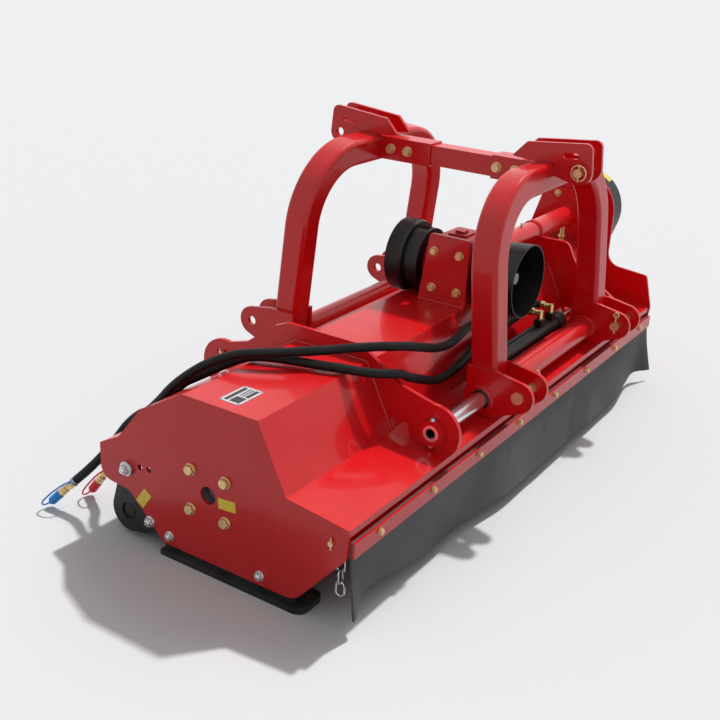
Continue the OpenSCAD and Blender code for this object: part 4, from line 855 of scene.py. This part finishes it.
@dataclass
class HoseLine:
    """One hydraulic hose in its sleeve, with its coupler, dust cap and the cap's strap.

    The route's points are millimetres from the near end plate. The crest's heights count from the deck.
    """

    name: str
    cap_name: str
    cap_finish: str
    port_x: float
    run: Sequence[Point]
    crest: Sequence[Point]
    drop: Sequence[Point]
    strap_side: Point
    length: float
    diameter: float = 0.026
    exit_y: float = -0.2487
    exit_z: float = 0.426
    coupler_len: float = 0.060
    cap_len: float = 0.040
    cap_r: float = 0.0128
    step: float = 0.009
    sides: int = 14
    slide_from: tuple[float, float, float] = (0.20, -0.22, 0.43)
    slide_to: tuple[float, float, float] = (-0.45, -0.22, 0.48)

    def path(self) -> list[Vector]:
        """Middle line of the hose, along the route of the part's source with its corners eased.

        Returns:
            Even points from the port to the coupler.
        """
        points = [(self.port_x, self.exit_y, self.exit_z)]
        for stretch, base in ((self.run, 0.0), (self.crest, DECK_TOP), (self.drop, 0.0)):
            points += [(X_NEAR + x / 1000, y / 1000, base + z / 1000) for x, y, z in stretch]
        return Shapes.curve_through(points, self.step)

    def build(self, shop: Workshop) -> None:
        """Makes the hose and what is on its end.

        Args:
            shop: Workshop that fits the pieces.
        """
        path = self.path()
        half = self.diameter / 2

        def sleeve(gone: float) -> float:
            """Radius of the loose sleeve, with small puckers."""
            pucker = noise.noise(Vector((gone * 55.0, self.port_x * 40.0, 0.0)))
            return half - 0.0005 + 0.0005 * pucker

        tube = Shapes.tube(self.name + "_sleeve", path, sleeve, self.sides)
        hose = shop.fit(tube, None, "hose_cover", replaces=[self.name])
        aim = (Vector(self.drop[-1]) - Vector(self.drop[-2])).normalized()
        extras = [self.coupler(shop, path[-1], aim), self.cap(shop, path[-1], aim),
                  self.strap(shop, path[-1], aim)]
        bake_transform(hose)

    def coupler(self, shop: Workshop, end: Vector, aim: Vector) -> bpy.types.Object:
        """Plated coupler: ferrule, hexagon, neck and a grooved collar.

        Args:
            shop: Workshop that fits the piece.
            end: End of the hose.
            aim: Direction in which the hose ends.

        Returns:
            The coupler.
        """
        ferrule = [(0.0, 0.0001), (0.0, 0.0105), (0.002, 0.0112), (0.011, 0.0112), (0.013, 0.009),
                   (0.013, 0.0001)]
        body = [(0.026, 0.0001), (0.026, 0.0085), (0.033, 0.0085), (0.034, 0.0118), (0.039, 0.0118),
                (0.040, 0.0108), (0.043, 0.0108), (0.044, 0.0118), (0.055, 0.0118), (0.056, 0.009),
                (self.coupler_len, 0.009), (self.coupler_len, 0.0001)]
        pieces = [Shapes.turned("ferrule", ferrule, end, aim), Shapes.turned("body", body, end, aim),
                  Shapes.hexagon(end + aim * 0.013, aim, 0.012, 0.014)]
        return shop.fit(Shapes.joined(self.cap_name + "_coupler", pieces), "deck", "bare_steel", "brass",
                        replaces=["hose_couplers"])

    def cap(self, shop: Workshop, end: Vector, aim: Vector) -> bpy.types.Object:
        """Ribbed dust cap over the coupler's end.

        Args:
            shop: Workshop that fits the piece.
            end: End of the hose.
            aim: Direction in which the hose ends.

        Returns:
            The cap.
        """
        s, r = self.coupler_len, self.cap_r
        profile = [(s - 0.004, 0.0105), (s - 0.004, r), (s + 0.004, r)]
        for k in range(4):
            profile += [(s + 0.006 + k * 0.006, r - 0.001), (s + 0.009 + k * 0.006, r)]
        profile += [(s + 0.031, r - 0.001), (s + 0.035, 0.009), (s + 0.037, 0.0045),
                    (s + self.cap_len, 0.004), (s + self.cap_len, 0.0001)]
        piece = Shapes.turned(self.cap_name + "_ribbed", [(s - 0.004, 0.0001)] + profile, end, aim)
        return shop.fit(piece, "deck", self.cap_finish, replaces=[self.cap_name])

    def strap(self, shop: Workshop, end: Vector, aim: Vector) -> bpy.types.Object:
        """Thin strap from the hose end to the tip of the cap, bowed to one side.

        Args:
            shop: Workshop that fits the piece.
            end: End of the hose.
            aim: Direction in which the hose ends.

        Returns:
            The strap.
        """
        out = Vector(self.strap_side)
        out = (out - aim * out.dot(aim)).normalized()
        ring = [end + aim * 0.006 + Matrix.Rotation(w, 3, aim) @ out * 0.0118 for w in Shapes.angles(20)]
        reach = self.coupler_len + self.cap_len
        way = [(0.006, 0.0128), (0.020, 0.024), (0.046, 0.032), (0.078, 0.034), (0.100, 0.030),
               (0.110, 0.019), (0.108, 0.008), (reach - 0.002, 0.002)]
        line = Shapes.curve_through([end + aim * s + out * o for s, o in way], 0.004)
        pieces = [Shapes.tube("ring", ring, lambda s: 0.0021, 8, closed=True),
                  Shapes.tube("line", line, lambda s: 0.0023, 8)]
        return shop.fit(Shapes.joined(self.cap_name + "_strap", pieces), "deck", self.cap_finish)


HOSES = (
    HoseLine(
        "hose_a", "blue_cap", "blue_plastic", 0.2322,
        ((1244, -236, 426), (1234, -227, 427), (1215, -221, 428), (1190, -218, 430), (1130, -216, 434),
         (1060, -216, 438), (990, -220, 447), (930, -224, 465), (880, -230, 480), (828, -234, 483),
         (777, -236, 472), (720, -236, 468), (660, -236, 478)),
        ((622, -235, 16), (590, -233, 27), (563, -229, 35), (536, -220, 43), (508, -202, 47),
         (467, -168, 50), (420, -126, 50), (372, -84, 48), (328, -40, 46), (284, 6, 45), (246, 54, 42),
         (216, 98, 36), (190, 136, 21), (162, 170, 1), (140, 208, -31)),
        ((126, 246, 403), (121, 286, 355), (122, 324, 318), (125, 364, 291), (117, 398, 256),
         (98, 427, 207), (74, 458, 156), (48, 488, 114), (26, 514, 82)),
        (-0.8, -0.1, 0.6), 1.85),
    HoseLine(
        "hose_b", "red_cap", "red_plastic", 0.3142,
        ((1326, -237, 425), (1315, -227, 422), (1296, -217, 416), (1252, -207, 400), (1190, -203, 391),
         (1110, -202, 390), (1030, -204, 392), (960, -212, 394), (900, -224, 395), (850, -234, 390),
         (800, -236, 379), (740, -236, 373), (670, -236, 379), (600, -236, 403), (550, -237, 424),
         (508, -238, 443)),
        ((473, -235, -11), (445, -226, -4), (415, -206, 1), (379, -172, 9), (350, -128, 16), (330, -76, 17),
         (316, -26, 17), (300, 22, 17), (282, 66, 17), (261, 102, 13), (238, 135, -1), (212, 170, -22),
         (192, 206, -45)),
        ((178, 246, 402), (170, 286, 355), (167, 326, 317), (166, 365, 290), (160, 397, 257),
         (148, 421, 207), (131, 447, 142), (117, 478, 94)),
        (-0.8, -0.1, 0.5), 1.91),
)


@dataclass
class RubberFlap:
    """Rubber sheet that hangs from the bolted strip.

    The bulge's ends and the humps, each a height, a middle and a half width, are millimetres along the flap.
    """

    length: float = 1.966
    top_z: float = ROTOR_Z + 0.022
    strip_h: float = 0.041
    back_y: float = ROTOR_Y - 0.415
    thick: float = 0.006
    clear: float = 0.040
    bulge: float = 0.031
    bulge_ends: tuple[float, float] = (670, 1745)
    bulge_ease: float = 42
    humps: tuple[tuple[float, float, float], ...] = ((-10, 170, 140), (18, 0, 36), (-7, 1880, 60),
                                                     (36, 1966, 40))
    ripple: float = 0.0025
    columns: int = 220
    rows: int = 14

    def out(self, s: float, t: float) -> float:
        """How far the rubber stands out.

        Args:
            s: Distance from the near end, in millimetres.
            t: Share of the way from the strip to the lower edge.

        Returns:
            The distance in metres.
        """
        def ease(at: float, mid: float) -> float:
            """Smooth step along the flap."""
            return 1 / (1 + math.exp((mid - at) / self.bulge_ease))

        first, last = self.bulge_ends
        wide = self.bulge * ease(s, first) * ease(-s, -last)
        bells = sum(size * math.exp(-((s - mid) / half) ** 2) for size, mid, half in self.humps)
        ripple = self.ripple * noise.noise(Vector((s / 140, t * 1.2, 3.0)))
        return t ** 1.4 * (wide + bells / 1000 + ripple)

    @staticmethod
    def curl(s: float) -> float:
        """How far the lower edge is curled up, in metres, at a distance in millimetres."""
        return 0.038 * (1 - math.exp(-(s / 32) ** 2)) * math.exp(-((s - 70) / 150) ** 2)

    def build(self, shop: Workshop) -> None:
        """Makes the sheet with its thickness.

        Args:
            shop: Workshop that fits the pieces.
        """
        drop = self.top_z - self.strip_h - self.clear
        low = self.top_z - self.strip_h
        points: list[Point] = []
        for side in (0, 1):
            for i in range(self.columns + 1):
                s = self.length * i / self.columns
                x = X_NEAR + PLATE_T + s
                curl = self.curl(s * 1000)
                edge = self.back_y - (self.thick if side == 0 else 0.0)
                for height in (self.top_z, self.top_z - self.strip_h * 0.5):
                    points.append((x, edge, height))
                for j in range(self.rows + 1):
                    t = j / self.rows
                    points.append((x, edge - self.out(s * 1000, t), low - drop * t + curl * t * t))
        m = self.rows + 3
        half = (self.columns + 1) * m
        faces: list[tuple[int, ...]] = []
        for i in range(self.columns):
            for j in range(m - 1):
                a = i * m + j
                faces.append((a, a + m, a + m + 1, a + 1))
                faces.append((half + a, half + a + 1, half + a + m + 1, half + a + m))
            for b in (i * m, i * m + m - 1):
                faces.append((b, half + b, half + b + m, b + m))
        for b in (0, self.columns * m):
            for j in range(m - 1):
                faces.append((b + j, b + j + 1, half + b + j + 1, half + b + j))
        piece = Shapes.from_faces("rubber_flap_sheet", points, faces)
        piece.data.set_sharp_from_angle(angle=math.radians(40))
        shop.fit(piece, "deck", "black_rubber", replaces=["rubber_flap"])


@dataclass
class ChainCurtain:
    """Strands of round-wire links behind the flap."""

    strands: int = 16
    links: int = 5
    wire: float = 0.003
    long: float = 0.046
    wide: tuple[float, float] = (0.030, 0.024)
    y: float = ROTOR_Y - 0.370
    first_z: float = 0.2233
    step: float = 0.034
    inset: float = 0.035

    def link(self, middle: Vector, across: Vector, width: float) -> bpy.types.Object:
        """One stadium-shaped link.

        Args:
            middle: Its middle.
            across: Direction of its width.
            width: Outer width.

        Returns:
            The link.
        """
        r = width / 2 - self.wire
        straight = self.long / 2 - self.wire - r
        ring = []
        for k in range(24):
            w = 2 * math.pi * (k + 0.5) / 24
            lift = straight if math.sin(w) > 0 else -straight
            ring.append(middle + across * (r * math.cos(w)) + Vector((0, 0, r * math.sin(w) + lift)))
        return Shapes.tube("link", ring, lambda s: self.wire, 8, closed=True)

    def build(self, shop: Workshop) -> None:
        """Makes all strands as one piece.

        Args:
            shop: Workshop that fits the pieces.
        """
        start = X_NEAR + PLATE_T + self.inset
        pitch = (X_FAR - X_NEAR - 2 * PLATE_T - 2 * self.inset) / (self.strands - 1)
        links = []
        for i in range(self.strands):
            for k in range(self.links):
                across = Vector((0, 1, 0)) if k % 2 == 0 else Vector((1, 0, 0))
                links.append(self.link(Vector((start + i * pitch, self.y, self.first_z - k * self.step)),
                                       across, self.wide[k % 2]))
        shop.fit(Shapes.joined("chain_links", links), "chain_guard", "zinc", "white_zinc",
                 replaces=["chain_strands"])


@dataclass(frozen=True)
class Bolt:
    """One hexagon bolt with its nut."""

    seat: tuple[float, float, float]
    aim: tuple[float, float, float]
    grip: float
    size: float
    washer: float = 0.003

    def pieces(self) -> list[bpy.types.Object]:
        """Head, washers, nut and threaded end.

        Returns:
            The pieces, not yet joined.
        """
        seat, aim = Vector(self.seat), Vector(self.aim)
        corner, height = 0.87 * self.size, 0.65 * self.size
        far = seat + aim * self.grip
        ring = [(0.0, 0.0001), (0.0, corner * 1.15), (self.washer * 0.8, corner * 1.15),
                (self.washer, corner * 1.11), (self.washer, 0.0001)]
        return [Shapes.turned("washer", ring, seat, -aim, 24),
                Shapes.hexagon(seat - aim * self.washer, -aim, corner, height),
                Shapes.turned("washer", [(s * 0.6, r) for s, r in ring], far, aim, 24),
                Shapes.hexagon(far + aim * self.washer * 0.6, aim, corner, height - self.washer * 0.6),
                Shapes.thread(far, aim, self.size / 2, self.size)]


@dataclass
class Fasteners:
    """Detailed bolts in place of the plain ones, at the same places."""

    bearing_half: float = 0.0555
    inner: float = 0.010
    proud: float = 0.0104
    strip_pitch: float = 0.250
    pivot: tuple[float, float] = (ROTOR_Y + 0.198, ROTOR_Z - 0.147)
    height_r: float = 0.152
    height_angle: float = 61.5
    skid: tuple[tuple[float, float], ...] = ((ROTOR_Y + 0.130, 0.060), (ROTOR_Y - 0.163, 0.060))
    mast_y: tuple[float, ...] = (-0.147, -0.207, 0.160, 0.220)
    mast_z: float = 0.8901
    guard_half: float = 0.063
    stand_half: tuple[float, float] = (0.043, 0.0575)
    strip_count: int = 8
    strip_z: float = 0.2298

    def fit(self, shop: Workshop, name: str, bolts: Sequence[Bolt], node: str, finish: str = "zinc",
            more: Sequence[bpy.types.Object] = (), body: str = "deck") -> None:
        """Joins bolts into one piece that stands for a CAD node.

        Args:
            shop: Workshop that dresses the piece.
            name: Piece name.
            bolts: Bolts to make.
            node: CAD node.
            finish: Finish name.
            more: Other pieces to join.
            body: Body that carries them.
        """
        pieces = [piece for bolt in bolts for piece in bolt.pieces()] + list(more)
        shop.fit(Shapes.joined(name, pieces), body, "zinc", finish, replaces=[node])

    def build(self, shop: Workshop) -> None:
        """Makes the bolts of every group.

        Args:
            shop: Workshop that fits the pieces.
        """
        self.plates(shop)
        self.deck(shop)
        mast = [Bolt((HITCH_X - 0.035, y, self.mast_z), (1, 0, 0), 0.070, 0.016) for y in self.mast_y]
        self.fit(shop, "mast_bolt_set", mast, "mast_bolts", body="hitch_frame")

    def plates(self, shop: Workshop) -> None:
        """Makes the bolts of both end plates.

        Args:
            shop: Workshop that fits the pieces.
        """
        half, wide = self.bearing_half, self.guard_half
        heads = [Bolt((x, ROTOR_Y + a * half, ROTOR_Z + b * half), (way, 0, 0), PLATE_T + 0.016, 0.016)
                 for x, way in ((X_NEAR, 1), (X_FAR, -1)) for a, b in SQUARE]
        heads += [Bolt((X_FAR, GEAR_Y + a * wide, GEAR_Z + b * wide), (-1, 0, 0), PLATE_T + 0.010, 0.014)
                  for a, b in SQUARE]
        self.fit(shop, "bearing_bolt_set", heads, "end_plate_bolts")
        angle = math.radians(self.height_angle)
        raised = (self.pivot[0] + self.height_r * math.cos(angle),
                  self.pivot[1] + self.height_r * math.sin(angle))
        nuts, spacers = [], []
        for face, way in ((X_NEAR, -1), (X_FAR, 1)):
            seat = face - way * (PLATE_T + self.inner)
            reach = PLATE_T + self.inner
            nuts += [Bolt((seat, *place), (way, 0, 0), reach, 0.014) for place in self.skid]
            nuts.append(Bolt((seat, *self.pivot), (way, 0, 0), reach, 0.016))
            nuts.append(Bolt((seat, *raised), (way, 0, 0), reach + self.proud, 0.016))
            ring = [(0.0, 0.0001), (0.0, 0.0195), (0.0008, 0.020), (0.005, 0.020), (0.0052, 0.0188),
                    (0.0056, 0.0188), (0.0058, 0.020), (self.proud - 0.0008, 0.020), (self.proud, 0.0192),
                    (self.proud, 0.0001)]
            spacers.append(Shapes.turned("spacer", ring, Vector((face, *raised)), Vector((way, 0, 0))))
        self.fit(shop, "plate_nut_set", nuts, "end_plate_bolts", "white_zinc", spacers)

    def deck(self, shop: Workshop) -> None:
        """Makes the bolts of the flap strip, the gearbox, the belt screw and the rod collars.

        Args:
            shop: Workshop that fits the pieces.
        """
        middle = (X_NEAR + X_FAR) / 2
        strip = [Bolt((middle + self.strip_pitch * (i - (self.strip_count - 1) / 2), ROTOR_Y - 0.427,
                       self.strip_z), (0, 1, 0), 0.018, 0.010, 0.002) for i in range(self.strip_count)]
        self.fit(shop, "strip_bolt_set", strip, "strip_bolts")
        half_y, half_z = self.stand_half
        stand = [Bolt((GEAR_X - 0.085, GEAR_Y + a * half_y, GEAR_Z + b * half_z), (1, 0, 0), 0.022, 0.014)
                 for a, b in SQUARE]
        foot = Vector((X_FAR - PLATE_T - 0.080, GEAR_Y, DECK_TOP))
        screw = [Shapes.thread(foot, UP, 0.008, GEAR_Z - TUBE_R - DECK_TOP)]
        screw += [Shapes.hexagon(foot + UP * rise, UP, 0.0139, 0.012) for rise in (0.0, 0.022)]
        self.fit(shop, "drive_bolt_set", stand, "drive_bolts", more=screw)
        collars = [Bolt((x, y, ROD_Z + 0.036), (0, 0, -1), 0.072, 0.009, 0.001)
                   for x in (NEAR_BRACKET_X - 0.008, FAR_BRACKET_X + BRACKET_T + 0.008)
                   for y in (-ROD_Y, ROD_Y)]
        self.fit(shop, "collar_bolt_set", collars, "collar_bolts", "white_zinc")


@dataclass
class SmallFittings:
    """Grease nipple of the torque tube and the turned end of the rotor's stub."""

    nipple_x: float = X_NEAR + 1.523
    stub_x: float = X_NEAR + 0.030
    stub_r: float = 0.0225

    def build(self, shop: Workshop) -> None:
        """Makes the nipple and the stub's end.

        Args:
            shop: Workshop that fits the pieces.
        """
        shape = [(-0.002, 0.0001), (-0.002, 0.0060), (0.004, 0.0060), (0.004, 0.0036), (0.008, 0.0036),
                 (0.009, 0.0046), (0.011, 0.0046), (0.013, 0.0026), (0.013, 0.0001)]
        top = Vector((self.nipple_x, GEAR_Y, GEAR_Z + TUBE_R))
        shop.fit(Shapes.turned("tube_nipple", shape, top, UP, 16), "deck", "zinc")
        end = [(0.0, 0.0001), (0.0, self.stub_r), (0.001, self.stub_r), (0.002, self.stub_r - 0.001),
               (0.002, 0.0085), (0.0004, 0.0070), (0.0004, 0.0001)]
        piece = Shapes.turned("stub_end", end, Vector((self.stub_x, ROTOR_Y, ROTOR_Z)), Vector((-1, 0, 0)))
        shop.fit(piece, "rotor", "bare_steel")


@dataclass
class WeldSeams:
    """Painted weld beads where plates meet the deck and the tubes."""

    bead: float = 0.0038
    bite: float = 0.0012
    step: float = 0.004
    ring_r: float = 0.0355
    half_span: float = 0.3665
    half_sleeve: float = 0.040
    lug_t: float = 0.012

    def seam(self, points: Sequence[Point], closed: bool = False) -> bpy.types.Object:
        """One rippled bead.

        Args:
            points: Corner points.
            closed: Whether the bead is a ring.

        Returns:
            The bead.
        """
        knots = [Vector(p) for p in points]
        line: list[Vector] = []
        pairs = list(zip(knots, knots[1:] + ([knots[0]] if closed else [])))
        for a, b in pairs:
            count = max(1, round((b - a).length / self.step))
            line += [a.lerp(b, k / count) for k in range(count)]
        if not closed:
            line.append(knots[-1])

        def ripple(gone: float) -> float:
            """Radius with the marks of the weld pool."""
            return self.bead + 0.0006 * math.sin(gone * 900) + 0.0004 * noise.noise(Vector((gone * 60, 0, 0)))

        return Shapes.tube("seam", line, ripple, 8, closed)

    def ring(self, x: float, y: float, z: float) -> bpy.types.Object:
        """Bead round a tube that lies along X, at a middle point."""
        return self.seam([(x, y + self.ring_r * math.cos(w), z + self.ring_r * math.sin(w))
                          for w in Shapes.angles(36)], closed=True)

    def build(self, shop: Workshop) -> None:
        """Makes the beads on the deck and round the sliding sleeves.

        Args:
            shop: Workshop that fits the pieces.
        """
        deck = []
        profile = [(0.233, 0.391), (0.093, DECK_TOP), (-0.138, DECK_TOP), (-0.225, 0.301)]
        for x0 in (NEAR_BRACKET_X, FAR_BRACKET_X):
            for x in (x0, x0 + BRACKET_T):
                deck.append(self.seam([(x, y, z + self.bite) for y, z in profile]))
        stand_x = GEAR_X - 0.073
        deck.append(self.seam([(stand_x - 0.012, -0.136, DECK_TOP + self.bite),
                               (stand_x - 0.012, 0.024, DECK_TOP + self.bite)]))
        for x in (FAR_BRACKET_X, FAR_BRACKET_X + BRACKET_T):
            deck.append(self.ring(x, GEAR_Y, GEAR_Z))
        shop.fit(Shapes.joined("deck_weld_seams", deck), "deck", "red_paint")
        rings = [self.ring(HITCH_X + s * self.half_span + t * self.half_sleeve + e * self.lug_t * t, y, ROD_Z)
                 for s, t in SQUARE for e in (0, 1) for y in (-ROD_Y, ROD_Y)]
        shop.fit(Shapes.joined("sleeve_weld_seams", rings), "hitch_frame", "red_paint")


@dataclass
class Badges:
    """Blank reflective patches and the plain data plate's dark fields and rivets."""

    film: float = 0.0006
    patch_size: tuple[float, float] = (0.054, 0.029)
    rim_r: float = 0.145
    rim_angle: float = 122
    rim_half: float = 9
    rim_x: tuple[float, float] = (X_FAR + 0.034, X_FAR + 0.068)
    rivet_in: float = 0.004

    def slab(self, name: str, corners: Sequence[Point], lift: Point) -> bpy.types.Object:
        """A thin slab on a face.

        Args:
            name: Piece name.
            corners: Corners on the face.
            lift: Vector from the face to the slab's top.

        Returns:
            The slab.
        """
        n = len(corners)
        tops = [tuple(c + d for c, d in zip(p, lift)) for p in corners]
        faces = [tuple(range(n)), tuple(range(n, 2 * n))]
        faces += [(k, (k + 1) % n, n + (k + 1) % n, n + k) for k in range(n)]
        return Shapes.from_faces(name, list(corners) + tops, faces, smooth=False)

    def build(self, shop: Workshop) -> None:
        """Makes the patches and the plate's details.

        Args:
            shop: Workshop that fits the pieces.
        """
        for name, y, z, tilt in (("front_patch", 0.230, 0.140, 55.0), ("rotor_patch", -0.048, 0.219, 5.0)):
            patch = self.patch(name, Vector((X_NEAR, y, z)), tilt)
            shop.fit(patch, "deck", "data_plate", "yellow_film")
        self.rim_patch(shop)
        self.plate(shop)

    def patch(self, name: str, middle: Vector, tilt: float) -> bpy.types.Object:
        """An oblong patch on the near end plate.

        Args:
            name: Piece name.
            middle: Its middle on the plate's face.
            tilt: Angle of its long side below the horizontal, in degrees.

        Returns:
            The patch.
        """
        turn = Matrix.Rotation(math.radians(-tilt), 3, "X")
        half_long, half_wide = self.patch_size[0] / 2, self.patch_size[1] / 2
        corners = [middle + turn @ Vector((0.0, a * half_long, b * half_wide))
                   for a, b in ((-1, -1), (1, -1), (1, 1), (-1, 1))]
        return self.slab(name, [tuple(c) for c in corners], (-self.film, 0, 0))

    def rim_patch(self, shop: Workshop) -> None:
        """A patch bent round the belt guard's rim.

        Args:
            shop: Workshop that fits the pieces.
        """
        half, steps = math.radians(self.rim_half), 8
        y, z = ROTOR_Y - 0.088, DECK_TOP + 0.118
        rows = []
        for r in (self.rim_r, self.rim_r + self.film):
            for k in range(steps + 1):
                w = math.radians(self.rim_angle) + half * (2 * k / steps - 1)
                rows += [(x, y + r * math.cos(w), z + r * math.sin(w)) for x in self.rim_x]
        n = 2 * (steps + 1)
        faces = [(a, a + 1, a + 3, a + 2) for k in range(steps) for a in (2 * k, n + 2 * k)]
        faces += [(b, b + 2, n + b + 2, n + b) for k in range(steps) for b in (2 * k, 2 * k + 1)]
        faces += [(b, b + 1, n + b + 1, n + b) for b in (0, n - 2)]
        piece = Shapes.from_faces("rim_patch", rows, faces, smooth=False)
        shop.fit(piece, "deck", "data_plate", "yellow_film")

    def plate(self, shop: Workshop) -> None:
        """Dark blank fields and rivets on the data plate.

        Args:
            shop: Workshop that fits the pieces.
        """
        low, high = (Vector(p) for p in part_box("data_plate"))
        up = (0, 0, 0.0003)
        z = high.z
        fields = ((0.08, 0.12, 0.40, 0.60), (0.46, 0.12, 0.92, 0.30), (0.46, 0.38, 0.92, 0.44),
                  (0.46, 0.52, 0.92, 0.58), (0.08, 0.70, 0.92, 0.88))
        slabs = []
        for a, b, c, d in fields:
            x0, x1 = low.x + (high.x - low.x) * a, low.x + (high.x - low.x) * c
            y0, y1 = low.y + (high.y - low.y) * b, low.y + (high.y - low.y) * d
            slabs.append(self.slab("field", [(x0, y0, z), (x1, y0, z), (x1, y1, z), (x0, y1, z)], up))
        shop.fit(Shapes.joined("plate_fields", slabs), "deck", "data_plate", "dark_print")
        dome = [(0.0, 0.0001), (0.0, 0.0028), (0.0008, 0.0025), (0.0014, 0.0014), (0.0016, 0.0001)]
        rivets = [Shapes.turned("rivet", dome, Vector((x, y, z)), UP, 16)
                  for x in (low.x + self.rivet_in, high.x - self.rivet_in)
                  for y in (low.y + self.rivet_in, high.y - self.rivet_in)]
        shop.fit(Shapes.joined("plate_rivets", rivets), "deck", "bare_steel")


class Mower:
    """The whole machine: CAD nodes with their finishes, and the pieces made here."""

    def __init__(self) -> None:
        """Sets up the workshop."""
        self.shop = Workshop()

    def dress_nodes(self) -> None:
        """Gives every CAD node the finish of its slot."""
        for part in frame["record"]["subparts"]:
            node = frame["nodes"][part["node"]]
            self.shop.finishes.dress(node, part["material_slot"])

    def build(self) -> None:
        """Builds every sub-assembly, hoses first."""
        for hose in HOSES:
            hose.build(self.shop)
        self.dress_nodes()
        for assembly in (RubberFlap(), ChainCurtain(), Fasteners(), SmallFittings(), WeldSeams(), Badges()):
            assembly.build(self.shop)


def main() -> None:
    """Builds the scene in order."""
    logging.basicConfig(level=logging.INFO, format="%(name)s: %(message)s")
    Studio().build()
    Mower().build()


if __name__ == "__main__":
    main()
